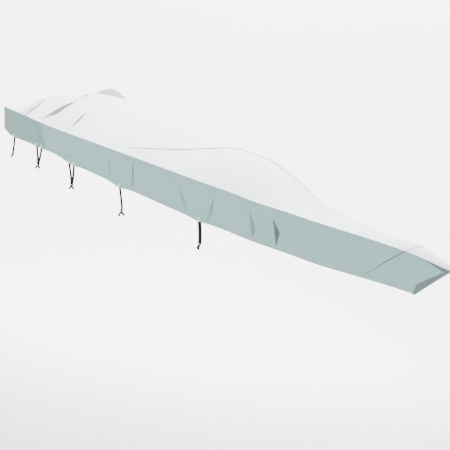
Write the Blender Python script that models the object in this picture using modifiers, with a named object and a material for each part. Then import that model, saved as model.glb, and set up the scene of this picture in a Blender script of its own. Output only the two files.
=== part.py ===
"""Fitted boat cover: a pale top over a grey skirt, a bow cap, a stem band, a vent hood and ten ties.

Lengths are in metres. Stations run along X from the transom (0) to the tip of the bow,
Y is to port, Z is up. Every shape is worked out in this cover frame, whose zero height is
the edge of the cover at the transom, and is then moved by -ORIGIN, so that the place where
the support carries the underside of the ridge is the world origin.
"""
import math

import bmesh
import bpy
import numpy as np
from mathutils import Vector

# ---------------------------------------------------------------- driving dimensions
LENGTH = 6.0
MAX_HALF_BEAM = 0.87
PLAN_POWER = 1.63
PLAN_FINENESS = 0.95
STERN_TUCK = 0.04
STERN_TUCK_END = 0.35
NOSE_HALF = 0.02
STEM_RAKE = 0.31
SKIRT_LEAN = 0.13
FLARE_START, FLARE_END = 3.0, 5.6
TRANSOM_RAKE = 0.06

CLOTH = 0.002
GAP = 0.0003
SEAM_GAP = 0.0014
# the skirts start this far under the top's edge
TUCK = 0.0033

# where the side and the top meet the bow cap: station at the edge, and how far the seam
# runs aft on the way down to the hem and forward on the way in to the ridge
BOW_SEAM = 5.577
BOW_SEAM_AFT = 0.40
BOW_SEAM_FORWARD = 0.115

# how much closer together the rows of the top lie near its edges
TOP_CROWDING = 1.35

# the ridge is carried here, by a support that stands on the boat
SUPPORT_STATION = 3.30

# the stern hoop: station on the ridge, and how much further forward it lies at the edge
HOOP_STATION = 0.20
HOOP_SWEEP = 0.29
HOOP_POWER = 1.8
HOOP_FADE = 1.4

# sections: station, height of the edge, rise of the ridge over it, fullness of the
# section (1 is a straight roof, more is rounder), depth of the skirt
STATIONS = np.array([
    (0.00, 0.000, 0.030, 3.0, 0.272),
    (0.18, -0.008, 0.210, 4.3, 0.318),
    (0.40, -0.020, 0.275, 3.2, 0.322),
    (0.75, -0.050, 0.400, 1.95, 0.300),
    (1.10, -0.070, 0.440, 1.95, 0.310),
    (1.60, -0.090, 0.364, 1.7, 0.350),
    (2.20, -0.120, 0.357, 1.7, 0.374),
    (2.80, -0.153, 0.331, 1.7, 0.400),
    (3.30, -0.183, 0.365, 1.7, 0.413),
    (3.70, -0.205, 0.363, 1.7, 0.415),
    (4.00, -0.230, 0.290, 1.7, 0.413),
    (4.35, -0.240, 0.127, 1.7, 0.415),
    (4.70, -0.257, 0.051, 1.7, 0.416),
    (5.20, -0.272, 0.048, 1.7, 0.400),
    (5.60, -0.297, 0.080, 1.7, 0.381),
    (6.00, -0.360, 0.035, 1.7, 0.366),
])
STATION, SHEER, CROWN, FULLNESS, DROP = range(5)

# folds of the top: width, height (less than nothing for a trough), side (-1 starboard,
# 1 port, 0 both), and the line it follows as (station, share of the half beam)
TOP_FOLDS = [
    (0.050, 0.012, 0, [(0.48, 0.98), (0.39, 0.79), (0.26, 0.42), (0.20, 0.0)]),
    (0.040, -0.024, -1, [(0.75, 0.95), (0.82, 0.75), (0.87, 0.50)]),
    (0.050, -0.018, 1, [(0.80, 0.90), (0.90, 0.60)]),
    (0.050, 0.014, 0, [(2.20, 0.90), (2.56, 0.74), (2.92, 0.42), (3.22, 0.16), (3.36, 0.0)]),
]
# the folds die out within this share of the half beam of the ridge
RIDGE_FREE = 0.12

# folds of the skirt: width, depth, side, and the line as (station, share of the drop)
SKIRT_FOLDS = [
    (0.060, 0.016, -1, [(0.72, 0.05), (0.78, 0.32), (0.80, 0.42)]),
    (0.028, 0.012, -1, [(3.03, 0.41), (3.15, 0.82), (3.13, 0.92)]),
    (0.032, 0.020, -1, [(3.94, 0.20), (4.01, 0.71), (3.99, 0.89)]),
    (0.034, 0.024, -1, [(4.21, 0.28), (4.29, 0.53), (4.27, 0.92)]),
    (0.060, 0.016, 1, [(0.95, 0.10), (1.02, 0.70)]),
    (0.032, 0.018, 1, [(3.62, 0.25), (3.66, 0.88)]),
    (0.034, 0.020, 1, [(4.36, 0.20), (4.40, 0.86)]),
]

# ties: stations of the eyelets and of the legs' heads, how far the tie pulls the hem down,
# station and depth under the hem of the knot, lean of the legs, and where the tails end
# from the knot's underside, forward and down
TIES = [
    ((0.234,), (0.234,), 0.012, 0.215, 0.208, 0.15, ((-0.024, 0.032),)),
    ((0.703, 0.811), (0.703, 0.811), 0.014, 0.746, 0.210, 0.18, ((-0.050, 0.030), (0.050, 0.012))),
    ((1.317, 1.412), (1.317, 1.412), 0.030, 1.385, 0.232, 0.18, ((-0.042, 0.030), (0.048, 0.010))),
    ((2.168,), (2.168,), 0.028, 2.215, 0.255, 0.19, ((-0.045, 0.050), (0.058, 0.012))),
    ((3.318,), (3.3075, 3.3285), 0.014, 3.338, 0.235, 0.20, ((-0.026, 0.036), (-0.004, 0.042))),
]
EYELETS, HEADS, PULL, KNOT, BELOW, LEAN, TAILS = range(7)
# the port side is tied this much shorter
PORT_SHORT = 0.75
PULL_REACH = 0.13
HEM_REST = 0.006

EYELET_RADIUS = 0.0150
EYELET_WIRE = 0.0045
EYELET_FLATNESS = 0.55
EYELET_UP = 0.022
# the skirt is flat this far to each side of an eyelet
EYELET_FLAT = 0.026

CORD = 0.020
CORD_STEP = 0.034
LEG_BOW = 0.004
LEG_CLEAR = 0.0006
KNOT_SINGLE = (0.031, 0.028, 0.032)
KNOT_DOUBLE = (0.045, 0.028, 0.032)
KNOT_BEVEL = 0.007
TAIL_RADIUS = 0.009

# stem band: share of the drop, and the station of its aft edge at that height
STEM_BAND = np.array([
    (0.00, 5.73), (0.06, 5.86), (0.11, 5.955), (0.16, 5.925), (0.40, 5.835), (0.69, 5.722),
    (0.73, 5.714), (1.00, 5.684),
])
STEM_BAND_LEAST = 0.008
NOSE_ROUND = 0.009
NOSE_SHOULDER = 0.004

HOOD_CENTRE = (0.91, 0.085)
HOOD_HALF = (0.24, 0.14)
HOOD_RISE = 0.085
HOOD_POWER = 1.7

SIDES = (("starboard", -1), ("port", 1))


# ---------------------------------------------------------------- form of the cover
def along(x, column):
    """Value of a STATIONS column at x: a cubic between rows that never overshoots a row."""
    xs, ys = STATIONS[:, STATION], STATIONS[:, column]
    step = np.diff(xs)
    rise = np.diff(ys) / step
    slope = np.zeros_like(ys)
    same = rise[:-1] * rise[1:] > 0
    near, far = 2 * step[1:] + step[:-1], step[1:] + 2 * step[:-1]
    back, ahead = np.where(same, rise[:-1], 1.0), np.where(same, rise[1:], 1.0)
    slope[1:-1] = np.where(same, (near + far) / (near / back + far / ahead), 0.0)
    slope[0], slope[-1] = rise[0], rise[-1]
    x = np.clip(x, 0.0, LENGTH)
    row = np.clip(np.searchsorted(xs, x, side="right") - 1, 0, len(xs) - 2)
    t = (x - xs[row]) / step[row]
    ends = ys[row] * (1 + 2 * t) * (1 - t) ** 2 + ys[row + 1] * t * t * (3 - 2 * t)
    return ends + step[row] * (slope[row] * t * (1 - t) ** 2 - slope[row + 1] * t * t * (1 - t))


def ramp(x, start, end):
    """0 before start, 1 after end, and a smooth S between them."""
    t = np.clip((x - start) / (end - start), 0.0, 1.0)
    return t * t * (3 - 2 * t)


def half_beam(x):
    """Half the width of the cover at its edge."""
    u = np.clip(x / LENGTH, 0.0, 1.0)
    tuck = 1 - STERN_TUCK * np.clip(1 - u / STERN_TUCK_END, 0.0, 1.0) ** 2
    return MAX_HALF_BEAM * (1 - u ** PLAN_POWER) ** PLAN_FINENESS * tuck + NOSE_HALF * u


def to_line(x, y, points):
    """Distance in the plane from (x, y) to a line through the given points."""
    nearest = np.full(np.broadcast(x, y).shape, np.inf)
    for (ax, ay), (bx, by) in zip(points[:-1], points[1:]):
        span = (bx - ax) ** 2 + (by - ay) ** 2
        t = np.clip(((x - ax) * (bx - ax) + (y - ay) * (by - ay)) / span, 0.0, 1.0)
        nearest = np.minimum(nearest, np.hypot(x - ax - t * (bx - ax), y - ay - t * (by - ay)))
    return nearest


def top_point(x, v):
    """Outer face of the top at station x and share v of the half beam, -1 to 1."""
    hoop = HOOP_STATION + HOOP_SWEEP * np.abs(v) ** HOOP_POWER
    shift = (hoop - HOOP_STATION) * (1 - ramp(x, hoop, HOOP_FADE))
    crown = along(np.maximum(x - shift, 0.0), CROWN)
    z = along(x, SHEER) + crown * (1 - np.abs(v) ** along(x, FULLNESS))
    y = v * half_beam(x)
    fade = (1 - np.abs(v) ** 8) * (1 - np.exp(-(v / RIDGE_FREE) ** 2))
    for width, height, side, line in TOP_FOLDS:
        path = [(px, pv * float(half_beam(px))) for px, pv in line]
        away = to_line(x, side * y if side else np.abs(y), path)
        z = z + height * fade * np.exp(-(away / width) ** 2)
    return np.stack(np.broadcast_arrays(x, y, z), -1)


def skirt_drop(x):
    """Depth of the skirt, pulled down at each tie."""
    drop = along(x, DROP) - HEM_REST
    for tie in TIES:
        centre = sum(tie[EYELETS]) / len(tie[EYELETS])
        drop = drop + tie[PULL] * np.exp(-((x - centre) / PULL_REACH) ** 2)
    return drop


def side_half(x, t):
    """Half width at share t of the drop: the side leans in, and closes on the raked stem."""
    bow = ramp(x, FLARE_START, FLARE_END)
    raked = half_beam(np.minimum(x + STEM_RAKE * t * bow, LENGTH))
    return raked - SKIRT_LEAN * t * skirt_drop(x) * (1 - bow)


def side_point(x, t, side, out=0.0):
    """Outer face of the skirt at station x and share t of the drop, set out by some depth."""
    drop = skirt_drop(x)
    y = side_half(x, t)
    for width, depth, fold_side, line in SKIRT_FOLDS:
        if fold_side == side:
            path = [(px, pt * float(skirt_drop(px))) for px, pt in line]
            y = y - depth * np.exp(-(to_line(x, t * drop, path) / width) ** 2)
    z = along(x, SHEER) - TUCK - t * (drop - TUCK)
    return np.stack(np.broadcast_arrays(x, side * (y + out), z), -1)


def stem_station(t):
    """Station of the stem at share t of the drop."""
    return LENGTH - STEM_RAKE * t


def transom_station(t):
    """Station of the raked transom at share t of the drop."""
    return TRANSOM_RAKE * t * STATIONS[0, DROP]


ORIGIN = top_point(np.array(SUPPORT_STATION), np.array(0.0)) - np.array((0.0, 0.0, CLOTH))


# ---------------------------------------------------------------- scene helpers
def clear_scene():
    for obj in list(bpy.data.objects):
        bpy.data.objects.remove(obj, do_unlink=True)


def new_collection(name):
    collection = bpy.data.collections.new(name)
    bpy.context.scene.collection.children.link(collection)
    return collection


def linear(shade):
    """sRGB 0-255 to the linear value that a shader takes."""
    value = shade / 255
    return value / 12.92 if value <= 0.04045 else ((value + 0.055) / 1.055) ** 2.4


def material(name, rgb, roughness):
    mat = bpy.data.materials.new(name)
    mat.use_nodes = True
    shader = mat.node_tree.nodes["Principled BSDF"]
    shader.inputs["Base Color"].default_value = (*(linear(c) for c in rgb), 1.0)
    shader.inputs["Roughness"].default_value = roughness
    shader.inputs["Metallic"].default_value = 0.0
    return mat


def add(collection, name, data, mat):
    obj = bpy.data.objects.new(name, data)
    collection.objects.link(obj)
    data.materials.append(mat)
    return obj


def cloth_sheet(collection, name, columns, rows, place, outward, mat):
    """A grid over columns and rows, set on place(column, row), with the cloth's thickness."""
    bm = bmesh.new()
    bmesh.ops.create_grid(bm, x_segments=len(columns) - 1, y_segments=len(rows) - 1, size=1.0)
    mesh = bpy.data.meshes.new(name)
    bm.to_mesh(mesh)
    bm.free()
    flat = np.empty(len(mesh.vertices) * 3)
    mesh.vertices.foreach_get("co", flat)
    share = (flat.reshape(-1, 3) + 1.0) / 2.0
    column = np.interp(share[:, 0], np.linspace(0, 1, len(columns)), columns)
    row = np.interp(share[:, 1], np.linspace(0, 1, len(rows)), rows)
    mesh.vertices.foreach_set("co", (place(column, row) - ORIGIN).ravel())
    mesh.update()
    facing = sum((face.normal * face.area for face in mesh.polygons), Vector())
    if facing.dot(Vector(outward)) < 0:
        mesh.flip_normals()
    mesh.shade_smooth()
    obj = add(collection, name, mesh, mat)
    shell = obj.modifiers.new("thickness", "SOLIDIFY")
    shell.thickness = CLOTH
    shell.offset = -1.0
    return obj


def spaced(start, end, step):
    return np.linspace(start, end, max(2, round((end - start) / step) + 1))


def stations(start, end, step, fine):
    """Stations a step apart, with finer runs (from, to, step) put in where the folds are."""
    values = list(spaced(start, end, step))
    for low, high, fine_step in fine:
        values = [x for x in values if x < low - fine_step or x > high + fine_step]
        values += list(spaced(low, high, fine_step))
    return np.array(sorted(values))


# ---------------------------------------------------------------- panels
def build_top(collection, mats):
    """Main top, from the transom to the bow seam, whose line leads forward to the ridge."""
    finer = stations(0.0, BOW_SEAM, 0.17, [(0.0, 1.05, 0.07)]) / BOW_SEAM
    columns = finer / finer[-1]
    rows = np.sin(np.linspace(-1, 1, 19) * TOP_CROWDING) / math.sin(TOP_CROWDING)

    def place(share, v):
        seam = BOW_SEAM + BOW_SEAM_FORWARD * (1 - np.abs(v)) - SEAM_GAP / 2
        stretch = BOW_SEAM + (seam - BOW_SEAM) * ramp(share, 0.6, 1.0)
        return top_point(share * stretch, v)

    cloth_sheet(collection, "top_panel", columns, rows, place, (0, 0, 1), mats["top"])


def build_bow_top(collection, mats):
    """Top of the bow cap, from the seam to the blunt tip."""
    def place(share, v):
        seam = BOW_SEAM + BOW_SEAM_FORWARD * (1 - np.abs(v)) + SEAM_GAP / 2
        nose = LENGTH + NOSE_ROUND * (1 - v * v)
        x = seam + share * (nose - seam)
        return np.stack([x, *top_point(np.minimum(x, LENGTH), v)[:, 1:].T], -1)

    rows = np.sin(np.linspace(-1, 1, 19) * TOP_CROWDING) / math.sin(TOP_CROWDING)
    cloth_sheet(collection, "bow_top", np.linspace(0, 1, 6), rows, place, (0, 0, 1), mats["top"])


def build_skirts(collection, mats):
    """A long skirt on each side, from the raked transom to the raked bow seam."""
    for name, side in SIDES:
        fine = [(0.62, 0.94, 0.055), (3.0, 3.18, 0.03), (3.9, 4.33, 0.03)]
        if side > 0:
            fine = [(0.86, 1.10, 0.055), (3.58, 3.70, 0.03), (4.32, 4.44, 0.03)]
        columns = stations(0.0, BOW_SEAM, 0.16, fine)
        eyelets = [x for tie in TIES for x in tie[EYELETS]]
        columns = [c for c in columns if min(abs(c - x) for x in eyelets) > 1.6 * EYELET_FLAT]
        columns += [x + EYELET_FLAT * way for x in eyelets for way in (-1, 1)]
        columns = np.array(sorted(columns)) / BOW_SEAM
        rows = np.array((0.0, 0.2, 0.4, 0.6, 0.8, 1.0))

        def place(share, t, side=side):
            x = share * BOW_SEAM
            start = transom_station(t) * (1 - ramp(x, 0.0, 0.5))
            x = x + start - (BOW_SEAM_AFT * t + SEAM_GAP / 2) * ramp(x, 4.5, BOW_SEAM)
            return side_point(x, t, side)

        cloth_sheet(collection, f"skirt_{name}", columns, rows, place, (0, side, 0), mats["skirt"])


def build_bow_skirts(collection, mats):
    """Sides of the bow cap, from the bow seam to the stem."""
    for name, side in SIDES:
        def place(share, t, side=side):
            seam = BOW_SEAM - BOW_SEAM_AFT * t + SEAM_GAP / 2
            return side_point(seam + share * (stem_station(t) - seam), t, side)

        cloth_sheet(collection, f"bow_skirt_{name}", np.linspace(0, 1, 8),
                    np.linspace(0, 1, 6), place, (0, side, 0), mats["skirt"])


def build_transom(collection, mats):
    """Skirt across the transom, between the ends of the side skirts."""
    inset = CLOTH + GAP

    def place(v, t):
        x = transom_station(t)
        edge = side_half(x, t) - inset
        top = top_point(np.zeros_like(v), v)[:, 2] - TUCK
        foot = -skirt_drop(np.zeros_like(v))
        return np.stack([x, v * edge, top + t * (foot - top)], -1)

    columns = np.sin(np.linspace(-1, 1, 19) * TOP_CROWDING) / math.sin(TOP_CROWDING)
    cloth_sheet(collection, "transom_skirt", columns, np.linspace(0, 1, 4), place, (-1, 0, 0),
                mats["skirt"])


def build_stem_band(collection, mats):
    """Dark band folded round the stem, outside the two bow skirts."""
    arm = np.linspace(0.0, 1.0, 4)
    columns = np.concatenate([arm - 2.0, (-0.75, -0.4, 0.0, 0.4, 0.75), 2.0 - arm[::-1]])
    rows = np.sort(np.append(STEM_BAND[:, 0], (0.28, 0.55, 0.86)))

    def place(a, t):
        stem = stem_station(t)
        edge = np.interp(t, STEM_BAND[:, 0], STEM_BAND[:, 1])
        edge = np.minimum(edge, stem - STEM_BAND_LEAST)
        shoulder = stem + NOSE_SHOULDER
        reach = np.clip(2.0 - np.abs(a), 0.0, 1.0)
        flank = side_point(edge + reach * (shoulder - edge), t, 1, CLOTH + 3 * GAP)
        turn = np.clip(np.abs(a), 0.0, 1.0) * math.pi / 2
        x = flank[:, 0] + NOSE_ROUND * np.cos(turn)
        y = flank[:, 1] * np.sin(turn) * np.sign(a)
        return np.stack([x, y, flank[:, 2]], -1)

    cloth_sheet(collection, "stem_band", columns, rows, place, (1, 0, 0), mats["band"])


def build_hood(collection, mats):
    """Vent hood: an oval dome sewn on the port side of the ridge, open to the top below."""
    def place(turn, ring):
        x = HOOD_CENTRE[0] + HOOD_HALF[0] * ring * np.cos(turn)
        y = HOOD_CENTRE[1] + HOOD_HALF[1] * ring * np.sin(turn)
        base = top_point(x, y / half_beam(x))[:, 2]
        z = base + CLOTH + GAP + HOOD_RISE * (1 - ring ** HOOD_POWER)
        return np.stack([x, y, z], -1)

    obj = cloth_sheet(collection, "vent_hood", np.linspace(0, 2 * math.pi, 17),
                      np.array((0.0, 0.35, 0.62, 0.82, 0.94, 1.0)), place, (0, 0, 1), mats["hood"])
    close_pole(obj.data)


def close_pole(mesh):
    """Joins the two edges of a turned grid, and the points that share its pole."""
    bm = bmesh.new()
    bm.from_mesh(mesh)
    bmesh.ops.remove_doubles(bm, verts=bm.verts, dist=1e-5)
    bm.to_mesh(mesh)
    bm.free()


# ---------------------------------------------------------------- eyelets and ties
def eyelet_centre(station, side):
    """Centre of an eyelet's ring on the outer face, and the way that the face looks."""
    x = station + EYELET_FLAT * np.array((-1.0, 1.0))
    t = 1 - EYELET_UP / skirt_drop(x)
    behind, ahead = side_point(x, t, side)
    centre = (behind + ahead) / 2
    lower = side_point(x, t + 0.05, side).mean(axis=0)
    normal = Vector(np.cross(ahead - behind, lower - centre)) * side
    return Vector(centre), normal.normalized()


def build_eyelet(collection, name, station, side, mat):
    centre, normal = eyelet_centre(station, side)
    bpy.ops.mesh.primitive_torus_add(major_radius=EYELET_RADIUS, minor_radius=EYELET_WIRE,
                                     major_segments=12, minor_segments=5)
    obj = bpy.context.object
    obj.name = name
    obj.data.name = name
    for holder in obj.users_collection:
        holder.objects.unlink(obj)
    collection.objects.link(obj)
    for vertex in obj.data.vertices:
        vertex.co.z *= EYELET_FLATNESS
    obj.rotation_mode = "QUATERNION"
    obj.rotation_quaternion = normal.to_track_quat("Z", "Y")
    stand = EYELET_WIRE * EYELET_FLATNESS + GAP
    obj.location = centre + normal * stand - Vector(ORIGIN)
    obj.data.materials.append(mat)
    obj.data.shade_smooth()


def knot_top(tie, side):
    """Middle of the knot's upper face."""
    below = tie[BELOW] * (1.0 if side < 0 else PORT_SHORT)
    hem = side_point(np.array([tie[KNOT]]), np.array([1.0]), side)[0]
    return Vector((tie[KNOT], hem[1] - side * tie[LEAN] * below, hem[2] - below))


def leg_route(tie, index, side):
    """Middle line of one leg: from behind its eyelet, down past the hem, to the knot."""
    centre, normal = eyelet_centre(tie[HEADS][index], side)
    start = centre - normal * (CLOTH + CORD / 2 + LEG_CLEAR)
    end = knot_top(tie, side)
    if len(tie[HEADS]) == 2:
        end.x += (index - 0.5) * (CORD + 2 * GAP)
    end.z += GAP
    last = end + Vector((0.0, 0.0, 1.5 * CORD))
    count = max(5, math.ceil((last - start).length / CORD_STEP) + 1)
    route = []
    for share in np.linspace(0.0, 1.0, count):
        point = start.lerp(last, share)
        point.y -= side * LEG_BOW * math.sin(math.pi * share)
        route.append(point)
    return route + [end]


def build_leg(collection, name, route, mat):
    curve = bpy.data.curves.new(name, "CURVE")
    curve.dimensions = "3D"
    curve.bevel_depth = CORD / 2
    curve.bevel_resolution = 2
    curve.use_fill_caps = True
    spline = curve.splines.new("POLY")
    spline.points.add(len(route) - 1)
    for point, place in zip(spline.points, route):
        point.co = (*(place - Vector(ORIGIN)), 1.0)
    add(collection, name, curve, mat)


def build_knot(collection, cutters, name, tie, side, mat):
    """A knot: a rounded lump under the legs, with its free tails joined on."""
    size = KNOT_DOUBLE if len(tie[HEADS]) == 2 else KNOT_SINGLE
    middle = knot_top(tie, side) - Vector((0, 0, size[2] / 2)) - Vector(ORIGIN)
    mesh = bpy.data.meshes.new(name)
    bm = bmesh.new()
    bmesh.ops.create_cube(bm, size=1.0)
    bmesh.ops.scale(bm, vec=size, verts=bm.verts)
    bm.to_mesh(mesh)
    bm.free()
    obj = add(collection, name, mesh, mat)
    obj.location = middle
    rounding = obj.modifiers.new("rounding", "BEVEL")
    rounding.width = KNOT_BEVEL
    rounding.segments = 1
    for number, (forward, down) in enumerate(tie[TAILS]):
        tip = Vector((forward, -side * tie[LEAN] * down, -size[2] / 2 - down))
        root = Vector((0.1 * forward, 0.0, -0.2 * size[2]))
        tail_mesh = bpy.data.meshes.new(f"{name}_tail_{number}")
        bm = bmesh.new()
        bmesh.ops.create_cone(bm, cap_ends=True, segments=8, radius1=TAIL_RADIUS,
                              radius2=TAIL_RADIUS, depth=(tip - root).length)
        bm.to_mesh(tail_mesh)
        bm.free()
        tail = bpy.data.objects.new(tail_mesh.name, tail_mesh)
        cutters.objects.link(tail)
        tail.rotation_mode = "QUATERNION"
        tail.rotation_quaternion = (tip - root).to_track_quat("Z", "Y")
        tail.location = middle + (tip + root) / 2
        tail.hide_render = True
        tail.display_type = "WIRE"
        union = obj.modifiers.new(f"tail {number}", "BOOLEAN")
        union.operation = "UNION"
        union.object = tail


def build_ties(collection, cutters, mats):
    """Five ties a side: eyelets, one leg from each, and a knot with its tails."""
    for side_name, side in SIDES:
        for number, tie in enumerate(TIES, start=1):
            for mark, station in zip("ab", tie[EYELETS]):
                build_eyelet(collection, f"eyelet_{side_name}_{number}{mark}", station, side,
                             mats["eyelet"])
            for index, mark in zip(range(len(tie[HEADS])), "ab"):
                build_leg(collection, f"tie_leg_{side_name}_{number}{mark}",
                          leg_route(tie, index, side), mats["cord"])
            build_knot(collection, cutters, f"tie_knot_{side_name}_{number}", tie, side,
                       mats["cord"])


def main():
    clear_scene()
    cover = new_collection("boat_cover")
    cutters = new_collection("cutters")
    mats = {
        "top": material("pale_top_cloth", (240, 244, 247), 0.62),
        "skirt": material("grey_skirt_cloth", (183, 199, 198), 0.7),
        "band": material("dark_band_cloth", (150, 166, 165), 0.7),
        "hood": material("light_grey_cloth", (212, 218, 221), 0.65),
        "eyelet": material("white_eyelet", (246, 248, 250), 0.35),
        "cord": material("black_cord", (12, 14, 16), 0.75),
    }
    build_top(cover, mats)
    build_bow_top(cover, mats)
    build_skirts(cover, mats)
    build_bow_skirts(cover, mats)
    build_transom(cover, mats)
    build_stem_band(cover, mats)
    build_hood(cover, mats)
    build_ties(cover, cutters, mats)


main()
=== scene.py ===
"""Looks of the fitted boat cover: cloth with its folds, hems, seams, stitching, eyelets and ties.

Stations run along X from the transom (0) to the tip of the bow, Y is to port, Z is up, in
metres. Shapes are worked out in this cover frame and moved by -ORIGIN into the model's frame.
"""

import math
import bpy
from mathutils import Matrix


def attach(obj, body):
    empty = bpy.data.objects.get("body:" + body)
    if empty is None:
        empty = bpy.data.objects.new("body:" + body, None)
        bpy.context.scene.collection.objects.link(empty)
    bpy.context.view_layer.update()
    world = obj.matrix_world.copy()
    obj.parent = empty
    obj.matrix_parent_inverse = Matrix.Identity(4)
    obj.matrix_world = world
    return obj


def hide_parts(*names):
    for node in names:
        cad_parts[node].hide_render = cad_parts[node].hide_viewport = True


bl_info = {
    "name": "Fitted Boat Cover",
    "version": (1, 0, 0),
    "blender": (4, 5, 0),
    "location": "3D View > Sidebar > Boat Cover",
    "description": "Builds the cloth, sewing, eyelets and ties of a fitted boat cover",
    "category": "Add Mesh",
}

import bmesh
import bpy
import numpy as np
from bpy.props import FloatProperty, FloatVectorProperty, PointerProperty
from mathutils import Matrix, Vector

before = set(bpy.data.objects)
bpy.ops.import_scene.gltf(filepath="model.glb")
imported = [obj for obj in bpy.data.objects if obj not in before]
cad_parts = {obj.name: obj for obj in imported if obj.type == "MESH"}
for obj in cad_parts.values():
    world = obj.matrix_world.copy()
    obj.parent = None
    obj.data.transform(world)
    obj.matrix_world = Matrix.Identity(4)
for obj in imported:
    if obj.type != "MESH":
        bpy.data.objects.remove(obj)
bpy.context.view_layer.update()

# ---------------------------------------------------------------- sizes of the cover
ORIGIN = np.array((3.30, 0.0, 0.180))
LENGTH = 6.0
MAX_HALF_BEAM = 0.87
PLAN_POWER = 1.63
PLAN_FINENESS = 0.95
STERN_TUCK = 0.04
STERN_TUCK_END = 0.35
NOSE_HALF = 0.02
STEM_RAKE = 0.31
SKIRT_LEAN = 0.13
FLARE_START, FLARE_END = 3.0, 5.6
TRANSOM_RAKE = 0.06
CLOTH = 0.002
GAP = 0.0003
BOW_SEAM = 5.577
BOW_SEAM_AFT = 0.40
BOW_SEAM_FORWARD = 0.115
HOOP_STATION = 0.20
HOOP_SWEEP = 0.29
HOOP_POWER = 1.8
HOOP_FADE = 1.4
RIDGE_FREE = 0.12
NOSE_ROUND = 0.009
NOSE_SHOULDER = 0.004
STEM_BAND_LEAST = 0.008
PULL_REACH = 0.13
HEM_REST = 0.006
EYELET_UP = 0.022
EYELET_FLAT = 0.026
EYELET_PROUD = 0.0016
LEG_CLEAR = 0.0006
LEG_BOW = 0.004
CORD_STEP = 0.034
CORD_DIAMETER = 0.020
CORD_ROUND = 0.0118
PORT_SHORT = 0.75
KNOT_SINGLE = (0.031, 0.028, 0.032)
KNOT_DOUBLE = (0.045, 0.028, 0.032)
HOOD_CENTRE = (0.91, 0.085)
HOOD_HALF = (0.24, 0.14)
HOOD_RISE = 0.085
HOOD_POWER = 1.7
HOOD_SHADE_TURN = 3.75
HOOD_GATHER, HOOD_CLOTH = 0.0025, 0.0018
FOLD_ROOM = 0.03
FOLD_FLANK, FLANK_SOFT, FLANK_STEEP = 0.008, 1.7, 0.8
FOLD_EDGE = 0.002
SEAM_GAP = 0.0004
HEM_STEP_UNDER, HEM_STEP_OVER, HEM_LINE, HEM_TONE = 0.003, 0.001, 0.0025, 0.30
TOP_SLACK, SIDE_SLACK, STERN_SLACK = 0.0022, 0.0030, 0.004
PUCKER, PUCKER_PITCH = 0.0007, 0.033
GATHER, GATHER_SHADE, GATHER_LEANS = 0.0024, 0.22, (-0.75, -0.1, 0.6)
KNOT_CORD, KNOT_UP, TAIL_ROUND, TAIL_END = 0.0074, 0.004, 0.0108, 0.0098
BIGHT_ROUND, BIGHT_BEND = 0.0043, 0.0042
BEAD_OUT, BEAD_UP = 0.0165, 0.006
PINCH_ROUND = 0.0042
TAPE_LIFT, TAPE_HALF, TAPE_SWELL, RIDGE_TAPE_HALF = 0.0012, 0.0027, 0.0051, 0.0050
LINE_TONE = 0.35
WELT_OUT, WELT_DOWN = 0.0006, 0.0016
HEM_ROWS, EDGE_ROW, TRANSOM_ROW = (0.004, 0.007), 0.011, 0.012
SEAM_ROWS, RIDGE_SEAM_ROWS = (-0.020, 0.020), (-0.011, 0.011)
WAVES_A_METRE, BRAID_PITCH, THREAD_PITCH = 0.314, 0.0045, 0.0012
ASIDE = (0.31, 0.94, 0.12)
FLOOR_FLAT, FLOOR_BEND, WALL_TOP = 17.0, 7.0, 20.0
SIDES = (("starboard", -1), ("port", 1))

# sections: station, height of the edge, rise of the ridge over it, fullness of the
# section (1 is a straight roof, more is rounder), depth of the skirt
STATIONS = np.array([
    (0.00, 0.000, 0.030, 3.0, 0.272),
    (0.18, -0.008, 0.210, 4.3, 0.318),
    (0.40, -0.020, 0.275, 3.2, 0.322),
    (0.75, -0.050, 0.400, 1.95, 0.300),
    (1.10, -0.070, 0.440, 1.95, 0.310),
    (1.60, -0.090, 0.364, 1.7, 0.350),
    (2.20, -0.120, 0.357, 1.7, 0.374),
    (2.80, -0.153, 0.331, 1.7, 0.400),
    (3.30, -0.183, 0.365, 1.7, 0.413),
    (3.70, -0.205, 0.363, 1.7, 0.415),
    (4.00, -0.230, 0.290, 1.7, 0.413),
    (4.35, -0.240, 0.127, 1.7, 0.415),
    (4.70, -0.257, 0.051, 1.7, 0.416),
    (5.20, -0.272, 0.048, 1.7, 0.400),
    (5.60, -0.297, 0.080, 1.7, 0.381),
    (6.00, -0.360, 0.035, 1.7, 0.366),
])
STATION, SHEER, CROWN, FULLNESS, DROP = range(5)

# stem band: share of the drop, and the station of its aft edge at that height
STEM_BAND = np.array([
    (0.00, 5.73), (0.06, 5.86), (0.11, 5.955), (0.16, 5.925), (0.40, 5.835), (0.69, 5.722),
    (0.73, 5.714), (1.00, 5.684),
])

# ties: stations of the eyelets and of the legs' heads, how far the tie pulls the hem down,
# station and depth under the hem of the knot, lean of the legs, and where the tails end
# from the knot's underside, forward and down
TIES = [
    ((0.234,), (0.234,), 0.012, 0.215, 0.208, 0.15, ((-0.024, 0.032),)),
    ((0.703, 0.811), (0.703, 0.811), 0.014, 0.746, 0.210, 0.18, ((-0.050, 0.030), (0.050, 0.012))),
    ((1.317, 1.412), (1.317, 1.412), 0.030, 1.385, 0.232, 0.18, ((-0.042, 0.030), (0.048, 0.010))),
    ((2.168,), (2.168,), 0.028, 2.215, 0.255, 0.19, ((-0.045, 0.050), (0.058, 0.012))),
    ((3.318,), (3.3075, 3.3285), 0.014, 3.338, 0.235, 0.20, ((-0.026, 0.036), (-0.004, 0.042))),
]
EYELETS, HEADS, PULL, KNOT, BELOW, LEAN, TAILS = range(7)

# broad folds of the top: width, height, side (0 both), line as (station, share of half beam)
TOP_FOLDS = [
    (0.050, 0.012, 0, [(0.48, 0.98), (0.39, 0.79), (0.26, 0.42), (0.20, 0.0)]),
    (0.050, 0.014, 0, [(2.20, 0.90), (2.56, 0.74), (2.92, 0.42), (3.22, 0.16), (3.36, 0.0)]),
]
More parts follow.
